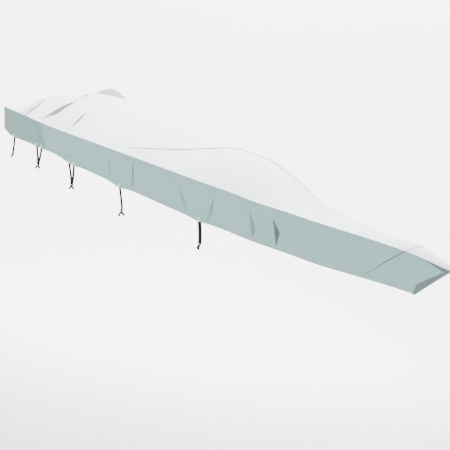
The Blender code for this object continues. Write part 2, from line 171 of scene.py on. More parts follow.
# creases of the top, with painted shade in them: height, darkness of the painted shade, side (0
# both), and rows of station, share of the half beam and half width of the painted shade
TOP_CREASES = [
    (0.005, 0.90, 0, [(0.468, 0.995, 0.010), (0.470, 0.945, 0.018), (0.467, 0.88, 0.017),
                      (0.458, 0.81, 0.016), (0.440, 0.735, 0.013), (0.385, 0.62, 0.009),
                      (0.345, 0.53, 0.0)]),
    # a flat band of painted shade, with no relief, on the slope aft of the hoop crease
    (0.000, 0.28, 0, [(0.325, 0.57, 0.0), (0.343, 0.65, 0.017), (0.366, 0.77, 0.034),
                      (0.379, 0.88, 0.044), (0.380, 0.97, 0.040)]),
    (-0.012, 1.00, -1, [(0.745, 0.975, 0.002), (0.760, 0.915, 0.013), (0.775, 0.85, 0.028),
                        (0.802, 0.80, 0.058), (0.817, 0.74, 0.062), (0.830, 0.66, 0.051),
                        (0.843, 0.60, 0.042), (0.856, 0.54, 0.025), (0.862, 0.475, 0.0)]),
    (-0.004, 1.00, -1, [(0.805, 0.375, 0.008), (0.807, 0.33, 0.026), (0.804, 0.29, 0.030),
                        (0.803, 0.24, 0.034), (0.818, 0.20, 0.014)]),
    (-0.006, 1.00, -1, [(1.269, 0.955, 0.001), (1.265, 0.895, 0.007), (1.260, 0.83, 0.015),
                        (1.248, 0.755, 0.015), (1.235, 0.70, 0.010), (1.215, 0.63, 0.001)]),
    (-0.005, 0.95, 0, [(2.200, 0.90, 0.004), (2.45, 0.795, 0.008), (2.70, 0.648, 0.008),
                       (2.925, 0.463, 0.008), (3.11, 0.305, 0.010), (3.21, 0.20, 0.008),
                       (3.36, 0.10, 0.004)]),
    (-0.012, 0.90, 1, [(0.72, 0.97, 0.003), (0.76, 0.87, 0.025), (0.82, 0.77, 0.045),
                       (0.89, 0.63, 0.030), (0.93, 0.52, 0.0)]),
    (-0.006, 0.90, 1, [(1.42, 0.93, 0.002), (1.39, 0.80, 0.014), (1.35, 0.68, 0.010),
                       (1.33, 0.60, 0.0)]),
]
# the pinched fold that runs on from the bow side of the long crease, over the hump: station
# and share of the half beam; it is drawn as a thin dark tube, a line of painted shade
PINCH = [(3.16, -0.25), (3.25, -0.16), (3.36, -0.10), (3.50, -0.06), (3.70, -0.07), (3.88, -0.06),
         (4.02, 0.00), (4.14, 0.09), (4.30, 0.19)]
# creases of the skirt, with painted shade in them: depth, darkness of the painted shade, side, and
# rows of station, share of the drop and half width of the painted shade
SKIRT_CREASES = [
    (0.005, 0.52, -1, [(1.973, 0.26, 0.003), (1.994, 0.43, 0.007), (2.007, 0.56, 0.010),
                       (2.020, 0.68, 0.010), (2.038, 0.82, 0.004)]),
    (0.006, 0.68, -1, [(2.352, 0.12, 0.002), (2.361, 0.34, 0.010), (2.370, 0.56, 0.014),
                       (2.371, 0.71, 0.010), (2.370, 0.91, 0.002)]),
    (0.006, 0.42, -1, [(3.010, 0.37, 0.003), (3.055, 0.49, 0.010), (3.085, 0.60, 0.013),
                       (3.112, 0.70, 0.015), (3.135, 0.765, 0.012), (3.137, 0.84, 0.007),
                       (3.117, 0.95, 0.002)]),
    (0.006, 0.58, -1, [(3.488, 0.25, 0.001), (3.472, 0.45, 0.010), (3.461, 0.63, 0.013),
                       (3.448, 0.74, 0.009), (3.428, 0.93, 0.002)]),
    (0.009, 0.55, -1, [(3.928, 0.21, 0.002), (3.941, 0.33, 0.007), (3.955, 0.42, 0.011),
                       (3.969, 0.515, 0.018), (3.985, 0.64, 0.025), (3.993, 0.73, 0.026),
                       (3.993, 0.785, 0.016), (3.988, 0.85, 0.007), (3.986, 0.92, 0.001)]),
    (0.011, 1.00, -1, [(4.208, 0.285, 0.002), (4.219, 0.36, 0.009), (4.231, 0.425, 0.014),
                       (4.245, 0.495, 0.022), (4.261, 0.585, 0.030), (4.263, 0.66, 0.023),
                       (4.264, 0.76, 0.015), (4.264, 0.85, 0.008), (4.266, 0.965, 0.001)]),
    (0.006, 0.52, 1, [(1.86, 0.15, 0.002), (1.90, 0.50, 0.010), (1.88, 0.86, 0.002)]),
    (0.006, 0.58, 1, [(2.62, 0.25, 0.002), (2.58, 0.55, 0.013), (2.61, 0.90, 0.002)]),
    (0.009, 0.55, 1, [(3.62, 0.20, 0.002), (3.66, 0.55, 0.022), (3.66, 0.72, 0.022),
                      (3.64, 0.92, 0.002)]),
    (0.011, 0.90, 1, [(4.35, 0.24, 0.002), (4.39, 0.52, 0.026), (4.385, 0.66, 0.020),
                      (4.37, 0.93, 0.002)]),
]
# soft patches of painted shade on the skirt: width, darkness, side, and rows of station and share
# of the drop
SKIRT_SHADES = [
    (0.050, 0.62, -1, [(0.794, 0.16), (0.793, 0.45), (0.788, 0.64), (0.772, 0.86)]),
    (0.045, 0.50, 1, [(0.94, 0.05), (0.99, 0.28), (1.00, 0.70)]),
]
# painted shade over the aft end of both skirts and over the whole transom's skirt: its darkness,
# the station where it ends at the edge, and how much further forward it ends at the hem
STERN_SHADE, STERN_SHADE_END, STERN_SHADE_LEAN = 0.36, 0.80, 0.15
# cloths: colour of the painted shade in the folds (the hem and seam lines darken toward it too),
# pitch of the weave, roughness and sheen
CLOTHS = {
    "top": ("top_shade_and_seam", 0.0016, 0.62, 0.10),
    "skirt": ("skirt_shade_and_seam", 0.0018, 0.70, 0.12),
    "band": ("skirt_shade_and_seam", 0.0018, 0.72, 0.12),
    "hood": ("top_shade_and_seam", 0.0016, 0.65, 0.10),
}
# creases of the transom's skirt, with painted shade in them: depth, darkness of the painted shade,
# and rows of distance from the middle, distance below the edge and half width of the painted shade
STERN_CREASES = [
    (0.007, 0.50, [(-0.55, 0.05, 0.002), (-0.50, 0.14, 0.011), (-0.48, 0.22, 0.002)]),
    (0.006, 0.46, [(0.20, 0.07, 0.001), (0.17, 0.16, 0.008), (0.18, 0.25, 0.001)]),
    (0.006, 0.42, [(0.60, 0.04, 0.001), (0.62, 0.12, 0.007), (0.59, 0.20, 0.001)]),
]


# ---------------------------------------------------------------- settings
def length_prop(name, description, default):
    return FloatProperty(name=name, description=description, default=default, unit="LENGTH",
                         precision=4)


def colour_prop(name, description, default):
    return FloatVectorProperty(name=name, description=description, default=default,
                               subtype="COLOR", size=3, min=0.0, max=1.0)


def angle_prop(name, description, degrees):
    return FloatProperty(name=name, description=description, default=math.radians(degrees),
                         subtype="ANGLE")


def power_prop(name, description, default):
    return FloatProperty(name=name, description=description, default=default, unit="POWER")


class CoverSizes(bpy.types.PropertyGroup):
    """Sizes of the sewing and of the small pieces."""
    eyelet_radius: length_prop("Eyelet radius", "Ring's middle line", 0.0150)
    eyelet_wire: length_prop("Eyelet rim", "Half width of the rolled rim", 0.0045)
    hem_depth: length_prop("Hem depth", "Height of the turned-up hem", 0.034)
    hem_relief: length_prop("Hem relief", "How proud the doubled hem stands", 0.0014)
    stitch_pitch: length_prop("Stitch pitch", "From one stitch to the next", 0.011)
    stitch_length: length_prop("Stitch length", "Thread seen in one stitch", 0.0075)
    thread_radius: length_prop("Thread radius", "Half the thread's width", 0.0008)
    welt_radius: length_prop("Welt radius", "Half the width of the edge welt", 0.0026)
    bead_radius: length_prop("Bead radius", "Half the width of a tie's bead", 0.0115)


class CoverColours(bpy.types.PropertyGroup):
    """Colours of the cloths and fittings, linear."""
    top: colour_prop("Top", "Top cloth", (0.78, 0.87, 0.91))
    # painted shade: the top cloth's colour deep in a crease and on the hood's shaded aft side; the
    # hood's rim line darkens toward it too
    top_shade_and_seam: colour_prop("Top folds", "Top cloth deep in a crease", (0.092, 0.102, 0.112))
    skirt: colour_prop("Skirt", "Skirt cloth", (0.222, 0.372, 0.362))
    # painted shade: the skirt cloth's colour in creases and in the painted stern shade; the hem,
    # seam tape and stem band lines darken toward it too
    skirt_shade_and_seam: colour_prop("Skirt folds", "Skirt cloth in a crease", (0.052, 0.076, 0.073))
    band: colour_prop("Band", "Stem band and seam tape", (0.088, 0.138, 0.134))
    # painted shade: the hood's grey, darker than the top cloth, is the dome's shade; the tape over
    # the top's bow seam uses the same grey
    hood: colour_prop("Hood", "Vent hood cloth", (0.27, 0.325, 0.345))
    eyelet: colour_prop("Eyelet", "Enamel of the eyelets and beads", (0.90, 0.92, 0.93))
    cord: colour_prop("Cord", "Tie cord", (0.0035, 0.004, 0.005))
    thread: colour_prop("Thread", "Sewing thread", (0.62, 0.68, 0.68))
    floor: colour_prop("Floor", "Studio floor", (0.92, 0.92, 0.92))


class CoverStage(bpy.types.PropertyGroup):
    """Camera, lights and floor."""
    pitch: angle_prop("Camera pitch", "How far the camera looks down", 11.415)
    heading: angle_prop("Camera heading", "Turn of the view off the beam", 48.028)
    roll: angle_prop("Camera roll", "Tilt of the camera about its own axis", 10.032)
    place: FloatVectorProperty(name="Camera place", description="Where the camera stands",
                               default=(6.532, -7.332, 1.130), size=3, subtype="XYZ",
                               unit="LENGTH")
    lens: FloatProperty(name="Lens", description="Focal length", default=73.53,
                        unit="CAMERA")
    floor_height: length_prop("Floor height", "Height of the studio floor", -6.0)
    sky: FloatProperty(name="Sky strength", description="Light from all round", default=2.0)
    key: power_prop("Key light", "Power of the large lamp overhead", 2750.0)
    backdrop: power_prop("Backdrop light", "Power of the backdrop's spot", 70000.0)


# ---------------------------------------------------------------- form of the cover
def cubic(start, end, start_slope, end_slope, t):
    """The cubic between two values with the given slopes at its ends."""
    bend = start_slope * t * (1 - t) ** 2 - end_slope * t * t * (1 - t)
    return start * (1 + 2 * t) * (1 - t) ** 2 + end * t * t * (3 - 2 * t) + bend


def along(x, column):
    """Value of a STATIONS column at x: a cubic between rows that never overshoots a row."""
    xs, ys = STATIONS[:, STATION], STATIONS[:, column]
    step = np.diff(xs)
    rise = np.diff(ys) / step
    slope = np.zeros_like(ys)
    same = rise[:-1] * rise[1:] > 0
    near, far = 2 * step[1:] + step[:-1], step[1:] + 2 * step[:-1]
    back, ahead = np.where(same, rise[:-1], 1.0), np.where(same, rise[1:], 1.0)
    slope[1:-1] = np.where(same, (near + far) / (near / back + far / ahead), 0.0)
    slope[0], slope[-1] = rise[0], rise[-1]
    x = np.clip(x, 0.0, LENGTH)
    row = np.clip(np.searchsorted(xs, x, side="right") - 1, 0, len(xs) - 2)
    t = (x - xs[row]) / step[row]
    return cubic(ys[row], ys[row + 1], step[row] * slope[row], step[row] * slope[row + 1], t)


def ramp(x, start, end):
    """0 before start, 1 after end, and a smooth S between them."""
    t = np.clip((x - start) / (end - start), 0.0, 1.0)
    return t * t * (3 - 2 * t)


def half_beam(x):
    """Half the width at the edge: the widest, less a power of the station's share."""
    u = np.clip(x / LENGTH, 0.0, 1.0)
    tuck = 1 - STERN_TUCK * np.clip(1 - u / STERN_TUCK_END, 0.0, 1.0) ** 2
    return MAX_HALF_BEAM * (1 - u ** PLAN_POWER) ** PLAN_FINENESS * tuck + NOSE_HALF * u


def smooth_path(points, count=24):
    """Cubic through the points (the mean of the two chords is each tangent)."""
    points = np.asarray(points, float)
    tangent = np.gradient(points, axis=0)
    share = np.linspace(0, len(points) - 1, count)
    row = np.minimum(share.astype(int), len(points) - 2)
    t = (share - row)[:, None]
    return cubic(points[row], points[row + 1], tangent[row], tangent[row + 1], t)


def to_path(x, y, path):
    """Signed distance in the plane to a path, the share of the path at its nearest point,
    and how far past the path's ends the point lies."""
    nearest = np.full(x.shape, np.inf)
    signed = np.zeros(x.shape)
    share = np.zeros(x.shape)
    past = np.zeros(x.shape)
    last = len(path) - 2
    for number, ((ax, ay), (bx, by)) in enumerate(zip(path[:-1], path[1:])):
        dx, dy = bx - ax, by - ay
        span = math.hypot(dx, dy)
        free = ((x - ax) * dx + (y - ay) * dy) / span ** 2
        t = np.clip(free, 0.0, 1.0)
        ox, oy = x - ax - t * dx, y - ay - t * dy
        away = np.hypot(ox, oy)
        over = np.where(free < 0, -free if number == 0 else 0.0, 0.0)
        over = np.where(free > 1, free - 1 if number == last else 0.0, over)
        closer = away < nearest
        nearest = np.where(closer, away, nearest)
        signed = np.where(closer, away * np.sign(dx * oy - dy * ox), signed)
        share = np.where(closer, (number + t) / (last + 1), share)
        past = np.where(closer, over * span, past)
    return signed, share, past


def crease(x, y, rows):
    """A fold along rows of (x, y, half width): a bell across it, steep on one flank and soft
    on the other, from 0 to 1, and its mark, which is the signed distance to its middle line
    and its half width there (the material paints the fold's shade from the two)."""
    path = smooth_path(rows)
    widest = path[:, 2].max()
    room = 3 * widest + FOLD_ROOM
    low, high = path[:, :2].min(axis=0) - room, path[:, :2].max(axis=0) + room
    height, mark = np.zeros(x.shape), np.zeros(x.shape + (2,)) + (0.0, -FOLD_ROOM)
    near = (x > low[0]) & (x < high[0]) & (y > low[1]) & (y < high[1])
    if near.any():
        signed, share, past = to_path(x[near], y[near], path[:, :2])
        half = np.interp(share, np.linspace(0, 1, len(path)), path[:, 2])
        taper = np.clip(half / widest, 0.0, 1.0) ** 0.5
        reach = half + FOLD_FLANK
        flank = reach * np.where(signed < 0, FLANK_SOFT, FLANK_STEEP)
        height[near] = taper * np.exp(-(signed / flank) ** 2 - (past / FOLD_FLANK) ** 2)
        close = np.abs(signed) < half + FOLD_ROOM
        mark[near] = np.stack([signed, np.where(close, half - past, -FOLD_ROOM)], -1)
    return height, mark


def creased(x, creases):
    """The relief of creases at x, each with its height, darkness of its painted shade, y and rows,
    and their fold
    marks (signed distance, half width, darkness): the crease that lies closest counts."""
    relief, fold = np.zeros(x.shape), no_folds(x.shape)
    for height, dark, y, rows in creases:
        rise, mark = crease(x, y, rows)
        relief = relief + height * rise
        closer = mark[..., 1] - np.abs(mark[..., 0]) > fold[..., 1] - np.abs(fold[..., 0])
        new = np.concatenate([mark, np.full(x.shape + (1,), dark)], -1)
        fold = np.where(closer[..., None], new, fold)
    return relief, fold


def no_folds(shape):
    """Fold marks with no fold."""
    return np.zeros(tuple(shape) + (3,)) + (0.0, -FOLD_ROOM, 0.0)


def toned(tone, fold=None):
    """A soft tone, from 0 to 1, for painted shade and for the darker hem and seam lines, with fold
    marks beside it, as a surface gives them.
    """
    tone = np.clip(tone, 0.0, 1.0)[..., None]
    fold = no_folds(tone.shape[:-1]) if fold is None else fold
    return np.concatenate([tone, fold], -1)


def top_surface(x, v):
    """Outer face of the top at station x and share v of the half beam, and the marks of its
    painted crease shade:
    edge height plus the ridge's rise times one less |v| to a power, plus folds."""
    hoop = HOOP_STATION + HOOP_SWEEP * np.abs(v) ** HOOP_POWER
    shift = (hoop - HOOP_STATION) * (1 - ramp(x, hoop, HOOP_FADE))
    crown = along(np.maximum(x - shift, 0.0), CROWN)
    z = along(x, SHEER) + crown * (1 - np.abs(v) ** along(x, FULLNESS))
    y = v * half_beam(x)
    free = 1 - np.abs(v) ** 8
    fade = free * (1 - np.exp(-(v / RIDGE_FREE) ** 2))
    shape = np.broadcast(x, v).shape
    x, y = np.broadcast_to(x, shape), np.broadcast_to(y, shape)
    for width, height, side, line in TOP_FOLDS:
        path = smooth_path([(px, pv * float(half_beam(px))) for px, pv in line], 12)
        away, _, _ = to_path(x, side * y if side else np.abs(y), path)
        z = z + height * fade * np.exp(-(away / width) ** 2)
    relief, fold = creased(x, [
        (height, dark, side * y if side else np.abs(y),
         [(px, pv * float(half_beam(px)), half) for px, pv, half in line])
        for height, dark, side, line in TOP_CREASES])
    z = z + free * relief
    slack = np.sin(9.1 * x + 2.3 * np.sin(5.0 * y)) * np.sin(6.3 * y + 1.7 * x)
    z = z + TOP_SLACK * slack * fade * ramp(x, 0.0, 0.5)
    return np.stack(np.broadcast_arrays(x, y, z), -1), toned(np.zeros(shape), fold)


def hem_form(from_hem):
    """How proud the doubled hem stands at a height over the hem, and how near, from 0 to 1,
    the height is to the hem's upper edge."""
    sizes = bpy.context.scene.cover_sizes
    low, high = sizes.hem_depth - HEM_STEP_UNDER, sizes.hem_depth + HEM_STEP_OVER
    line = np.exp(-((from_hem - sizes.hem_depth) / HEM_LINE) ** 2)
    return sizes.hem_relief * (1 - ramp(from_hem, low, high)), line


def skirt_drop(x):
    """Depth of the skirt: the section's, plus a bell at each tie that pulls it down."""
    drop = along(x, DROP) - HEM_REST
    for tie in TIES:
        centre = sum(tie[EYELETS]) / len(tie[EYELETS])
        drop = drop + tie[PULL] * np.exp(-((x - centre) / PULL_REACH) ** 2)
    return drop


def side_half(x, t):
    """Half width at share t of the drop: the side leans in, and closes on the raked stem."""
    bow = ramp(x, FLARE_START, FLARE_END)
    raked = half_beam(np.minimum(x + STEM_RAKE * t * bow, LENGTH))
    return raked - SKIRT_LEAN * t * skirt_drop(x) * (1 - bow)


def side_surface(x, t, side, out=0.0):
    """Outer face of the skirt at station x and share t of the drop, and the marks of its painted
    shade and hem line.
    """
    sizes = bpy.context.scene.cover_sizes
    drop = skirt_drop(x)
    x, t = np.broadcast_arrays(x, t)
    below = t * drop
    half = side_half(x, t)
    # painted shade over the aft end of the skirt, then soft patches of painted shade
    shade_end = STERN_SHADE_END + STERN_SHADE_LEAN * t
    tone = STERN_SHADE * (1 - ramp(x, shade_end - 0.05, shade_end))
    for width, dark, shade_side, line in SKIRT_SHADES:
        if shade_side == side:
            path = smooth_path([(px, pt * float(skirt_drop(px))) for px, pt in line])
            away, share, past = to_path(x, below, path)
            soft = np.exp(-(away / width) ** 2 - (past / width) ** 2)
            tone = np.maximum(tone, dark * soft * np.sin(math.pi * (0.12 + 0.76 * share)))
    creases = [(-depth, dark, below, [(px, pt * float(skirt_drop(px)), wide)
                                      for px, pt, wide in line])
               for depth, dark, crease_side, line in SKIRT_CREASES if crease_side == side]
    # little pull creases that fan up from each eyelet, with painted shade in them
    for station in (station for tie in TIES for station in tie[EYELETS]):
        foot = float(skirt_drop(station)) - EYELET_UP - 0.020
        creases += [(-GATHER, GATHER_SHADE, below,
                     [(station + 0.04 * lean, foot, 0.001),
                      (station + 0.10 * lean, foot - 0.045, 0.004),
                      (station + 0.15 * lean, foot - 0.10, 0.0)]) for lean in GATHER_LEANS]
    relief, fold = creased(x, creases)
    from_hem = drop - below
    hem, line = hem_form(from_hem)
    pucker = np.sin(x * 2 * math.pi / PUCKER_PITCH + 1.3 * np.sin(7.0 * x))
    row = np.exp(-((from_hem - sizes.hem_depth + 0.006) / 0.012) ** 2)
    slack = np.sin(7.0 * x + 2.0 * np.sin(3.0 * x)) * np.sin(math.pi * np.clip(t, 0, 1))
    half = half + relief * ramp(t, 0.0, 0.08) + hem + PUCKER * pucker * row
    half = half + SIDE_SLACK * slack * (1 - ramp(x, 4.9, 5.5))
    tone = np.maximum(tone, HEM_TONE * line)
    z = along(x, SHEER) - below
    return np.stack([x, side * (half + out), z], -1), toned(tone, fold)


def stem_station(t):
    """Station of the stem at share t of the drop."""
    return LENGTH - STEM_RAKE * t


def transom_station(t):
    """Station of the raked transom at share t of the drop."""
    return TRANSOM_RAKE * t * STATIONS[0, DROP]


def seam_station(v):
    """Station of the bow seam across the top."""
    return BOW_SEAM + BOW_SEAM_FORWARD * (1 - np.abs(v))


def transom_depth(v):
    """Depth of the transom's skirt at share v of the half beam, and the height of its head."""
    head = top_surface(np.zeros_like(v), v)[0][..., 2]
    return head + skirt_drop(np.zeros_like(v)), head


def transom_surface(v, t):
    """Outer face of the transom's skirt at share v of the half width and share t of its depth,
    and its marks. It leans in with the raked transom, between the side skirts."""
    depth, head = transom_depth(v)
    below = t * depth
    y = v * (side_half(transom_station(t), t) - GAP)
    hem, line = hem_form(depth - below)
    slack = np.sin(5.0 * v + 1.0) * np.sin(math.pi * t) * (1 - v ** 8)
    relief, fold = creased(y, [(-deep, dark, below, rows) for deep, dark, rows in STERN_CREASES])
    out = GAP + hem + STERN_SLACK * slack + relief
    # painted shade over the whole transom's skirt, turning into the hem line at the hem's edge
    tone = STERN_SHADE + (HEM_TONE - STERN_SHADE) * line
    return np.stack([transom_station(t) - out, y, head - below], -1), toned(tone, fold)


def plain_side(x, t, side):
    """The skirt's face with no relief, where the ties are hung from."""
    drop = skirt_drop(x)
    return np.stack([x, side * side_half(x, t), along(x, SHEER) - t * drop], -1)


# ---------------------------------------------------------------- materials
def feed(tree, made, inputs):
    """Sets a node's inputs: each is a constant, or another node's output to link from."""
    for name, value in inputs.items():
        if isinstance(value, bpy.types.NodeSocket):
            tree.links.new(value, made.inputs[name])
        else:
            made.inputs[name].default_value = value


def node(tree, kind, place, inputs=None, **values):
    """A new node with its settings and inputs; gives its outputs."""
    made = tree.nodes.new(f"ShaderNode{kind}")
    made.location = place
    for name, value in values.items():
        setattr(made, name, value)
    feed(tree, made, inputs or {})
    return made.outputs


def blank(name):
    """A new material, with its node tree and its shader."""
    mat = bpy.data.materials.new(name)
    mat.use_nodes = True
    return mat, mat.node_tree, mat.node_tree.nodes["Principled BSDF"]


def tones(tree, place, factor, colour, low, high):
    """A run between two tones of a colour."""
    ends = {"A": (*(low * c for c in colour), 1.0),
            "B": (*(min(1.0, high * c) for c in colour), 1.0)}
    return node(tree, "Mix", place, {**ends, "Factor": factor}, data_type="RGBA")["Result"]


def wave(tree, place, vector, pitch, direction):
    """Even waves at a pitch in metres."""
    return node(tree, "TexWave", place, {"Scale": WAVES_A_METRE / pitch, "Vector": vector},
                bands_direction=direction)["Fac"]


def raised(tree, place, height, strength, distance):
    """The normal of a surface with a fine relief."""
    return node(tree, "Bump", place, {"Height": height, "Strength": strength,
                                      "Distance": distance})["Normal"]


def painted_shade_amount(tree):
    """How much painted shade each point gets: the soft tone (painted shade, and the darker hem and
    seam lines), or the painted shade of the nearest fold wherever the distance to its middle line
    is under its half width."""
    # 'crease' holds the soft painted shade and the darker hem and seam lines; 'fold' holds the
    # marks of each fold's painted shade
    soft = node(tree, "Attribute", (-1300, 900), attribute_name="crease")["Fac"]
    mark = node(tree, "Attribute", (-1300, 700), attribute_name="fold")["Vector"]
    parts = node(tree, "SeparateXYZ", (-1100, 700), {"Vector": mark})
    away = node(tree, "Math", (-900, 750), {0: parts["X"]}, operation="ABSOLUTE")["Value"]
    inside = node(tree, "Math", (-700, 750), {0: parts["Y"], 1: away},
                  operation="SUBTRACT")["Value"]
    edge = node(tree, "MapRange", (-500, 750),
                {"Value": inside, "From Min": -FOLD_EDGE, "From Max": FOLD_EDGE},
                interpolation_type="SMOOTHSTEP")["Result"]
    dark = node(tree, "Math", (-300, 750), {0: edge, 1: parts["Z"]},
                operation="MULTIPLY")["Value"]
    return node(tree, "Math", (-100, 800), {0: dark, 1: soft}, operation="MAXIMUM")["Value"]


def cloth_material(name, colour, shade_and_seam_colour, pitch, roughness, sheen):
    """Woven cloth: a plain weave of two crossed waves on the UV map, which is in metres,
    soft uneven patches of wear, and painted shade in the folds."""
    mat, tree, shader = blank(name)
    place = node(tree, "TexCoord", (-1300, 0))
    waves = [wave(tree, (-1000, -200 - 300 * number), place["UV"], pitch, direction)
             for number, direction in enumerate("XY")]
    weave = node(tree, "Math", (-700, -300), {0: waves[0], 1: waves[1]},
                 operation="MULTIPLY")["Value"]
    patches = node(tree, "TexNoise", (-1000, 400),
                   {"Vector": place["Object"], "Scale": 2.2, "Detail": 5.0})["Fac"]
    fibres = node(tree, "TexNoise", (-1000, 150),
                  {"Vector": place["Object"], "Scale": 160.0, "Detail": 2.0})["Fac"]
    worn = tones(tree, (-650, 400), patches, colour, 0.94, 1.04)
    speck = node(tree, "Mix", (-450, 300), {"Factor": 0.10, "A": worn, "B": fibres},
                 data_type="RGBA", blend_type="MULTIPLY")["Result"]
    # painted shade: the colour runs toward the shade colour in folds and shaded patches
    with_painted_shade = node(tree, "Mix", (-200, 400),
                  {"Factor": painted_shade_amount(tree), "A": speck, "B": (*shade_and_seam_colour, 1.0)},
                  data_type="RGBA")["Result"]
    rough = node(tree, "MapRange", (-450, 0), {"Value": patches, "To Min": roughness - 0.06,
                                               "To Max": roughness + 0.08})["Result"]
    feed(tree, shader, {"Metallic": 0.0, "Sheen Weight": sheen, "Sheen Roughness": 0.5,
                        "Base Color": with_painted_shade, "Roughness": rough,
                        "Normal": raised(tree, (-200, -300), weave, 0.35, 0.0004)})
    return mat


def braid_material(name, colour):
    """Braided cord: two sets of strands that wind opposite ways round the cord."""
    mat, tree, shader = blank(name)
    place = node(tree, "TexCoord", (-1300, 0))
    sets = []
    for number, turn in enumerate((0.75, -0.75)):
        wind = node(tree, "Mapping", (-1050, -300 * number),
                    {"Vector": place["UV"], "Rotation": (0.0, 0.0, turn)})["Vector"]
        sets.append(wave(tree, (-850, -300 * number), wind, BRAID_PITCH, "X"))
    strands = node(tree, "Math", (-600, -200), {0: sets[0], 1: sets[1]},
                   operation="MAXIMUM")["Value"]
    feed(tree, shader, {"Roughness": 0.75, "Specular IOR Level": 0.2,
                        "Base Color": tones(tree, (-300, 200), strands, colour, 0.5, 1.6),
                        "Normal": raised(tree, (-300, -200), strands, 0.6, 0.0008)})
    return mat


def enamel_material(name, colour, roughness):
    """White enamel with a faint unevenness, a little duller where it has been handled."""
    mat, tree, shader = blank(name)
    place = node(tree, "TexCoord", (-900, 0))
    noise = node(tree, "TexNoise", (-700, 0), {"Vector": place["Object"], "Scale": 220.0})["Fac"]
    rough = node(tree, "MapRange", (-450, -100), {"Value": noise, "To Min": roughness - 0.08,
                                                  "To Max": roughness + 0.15})["Result"]
    feed(tree, shader, {"Roughness": rough,
                        "Base Color": tones(tree, (-450, 200), noise, colour, 0.93, 1.0)})
    return mat


def thread_material(name, colour):
    """Twisted thread: fine slanting strands in tone."""
    mat, tree, shader = blank(name)
    place = node(tree, "TexCoord", (-900, 0))
    strands = wave(tree, (-700, 0), place["Object"], THREAD_PITCH, "DIAGONAL")
    feed(tree, shader, {"Roughness": 0.55,
                        "Base Color": tones(tree, (-450, 200), strands, colour, 0.8, 1.0)})
    return mat


def finish_of(key):
    """The material for a finish, made the first time that it is asked for."""
    name = f"finish_{key}"
    if name in bpy.data.materials:
        return bpy.data.materials[name]
    colours = bpy.context.scene.cover_colours
    if key in CLOTHS:
        fold, pitch, roughness, sheen = CLOTHS[key]
        return cloth_material(name, getattr(colours, key), getattr(colours, fold), pitch,
                              roughness, sheen)
    if key == "cord":
        return braid_material(name, colours.cord)
    if key == "thread":
        return thread_material(name, colours.thread)
    return enamel_material(name, colours.eyelet, 0.32)


# ---------------------------------------------------------------- mesh helpers
def mesh_object(name, verts, faces, finish, uvs=None, marks=None):
    """An object at the origin from arrays of points and faces, with UVs a corner, and a soft
    tone and a fold mark a point, which give its painted shade."""
    mesh = bpy.data.meshes.new(name)
    mesh.from_pydata(verts.tolist(), [], faces if isinstance(faces, list) else faces.tolist())
    if uvs is not None:
        corner = np.empty(len(mesh.loops), dtype=np.int64)
        mesh.loops.foreach_get("vertex_index", corner)
        mesh.uv_layers.new(name="UVMap").data.foreach_set("uv", uvs[corner].ravel())
    if marks is not None:
        marks = marks.reshape(-1, 4)
        soft = mesh.attributes.new("crease", "FLOAT", "POINT")
        soft.data.foreach_set("value", marks[:, 0].astype(np.float32))
        fold = mesh.attributes.new("fold", "FLOAT_VECTOR", "POINT")
        fold.data.foreach_set("vector", marks[:, 1:].astype(np.float32).ravel())
    mesh.shade_smooth()
    obj = bpy.data.objects.new(name, mesh)
    bpy.context.scene.collection.objects.link(obj)
    mesh.materials.append(finish_of(finish))
    return obj


def grid_faces(rows, columns, closed=False, looped=False):
    """Quads of a grid of rows by columns: closed joins the last column to the first, and
    looped joins the last row to the first."""
    index = np.arange(rows * columns).reshape(rows, columns)
    if closed:
        index = np.hstack([index, index[:, :1]])
    if looped:
        index = np.vstack([index, index[:1]])
    quads = np.stack([index[:-1, :-1], index[:-1, 1:], index[1:, 1:], index[1:, :-1]], -1)
    return quads.reshape(-1, 4)


def fan(pole, first, count):
    """Triangles from a pole to a ring of points."""
    return [[pole, first + (k + 1) % count, first + k] for k in range(count)]


def ride(obj):
    """The piece rides on the root body."""
    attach(obj, "root")


def face_outward(obj, outward):
    """Turns the faces over if, on the whole, they look against the given way."""
    mesh = obj.data
    normals = np.empty(len(mesh.polygons) * 3)
    areas = np.empty(len(mesh.polygons))
    mesh.polygons.foreach_get("normal", normals)
    mesh.polygons.foreach_get("area", areas)
    if (normals.reshape(-1, 3) * areas[:, None]).sum(axis=0) @ np.array(outward) < 0:
        mesh.flip_normals()


def thicken(obj, thickness=CLOTH):
    """Gives a sheet its thickness inward, and leaves its cut edges sharp."""
    shell = obj.modifiers.new("thickness", "SOLIDIFY")
    shell.thickness = thickness
    shell.offset = -1.0
    depsgraph = bpy.context.evaluated_depsgraph_get()
    mesh = bpy.data.meshes.new_from_object(obj.evaluated_get(depsgraph),
                                           preserve_all_data_layers=True, depsgraph=depsgraph)
    obj.modifiers.clear()
    old = obj.data
    obj.data = mesh
    bpy.data.meshes.remove(old)
    mesh.name = obj.name
    mesh.set_sharp_from_angle(angle=math.radians(55))


def sheet_from(name, columns, rows, surface, finish, outward):
    """A sheet on a grid, which rides with the cover: surface(column, row) gives its points and
    marks. Its UV map is the length along and across the cloth, in metres."""
    a, b = np.meshgrid(columns, rows)
    points, marks = surface(a, b)
    across = np.linalg.norm(np.diff(points, axis=0), axis=-1)
    length = np.linalg.norm(np.diff(points, axis=1), axis=-1)
    u = np.hstack([np.zeros((len(rows), 1)), np.cumsum(length, axis=1)])
    v = np.vstack([np.zeros((1, len(columns))), np.cumsum(across, axis=0)])
    obj = mesh_object(name, (points - ORIGIN).reshape(-1, 3), grid_faces(len(rows), len(columns)),
                      finish, np.stack([u, v], -1).reshape(-1, 2), marks)
    face_outward(obj, outward)
    thicken(obj)
    ride(obj)
    return obj


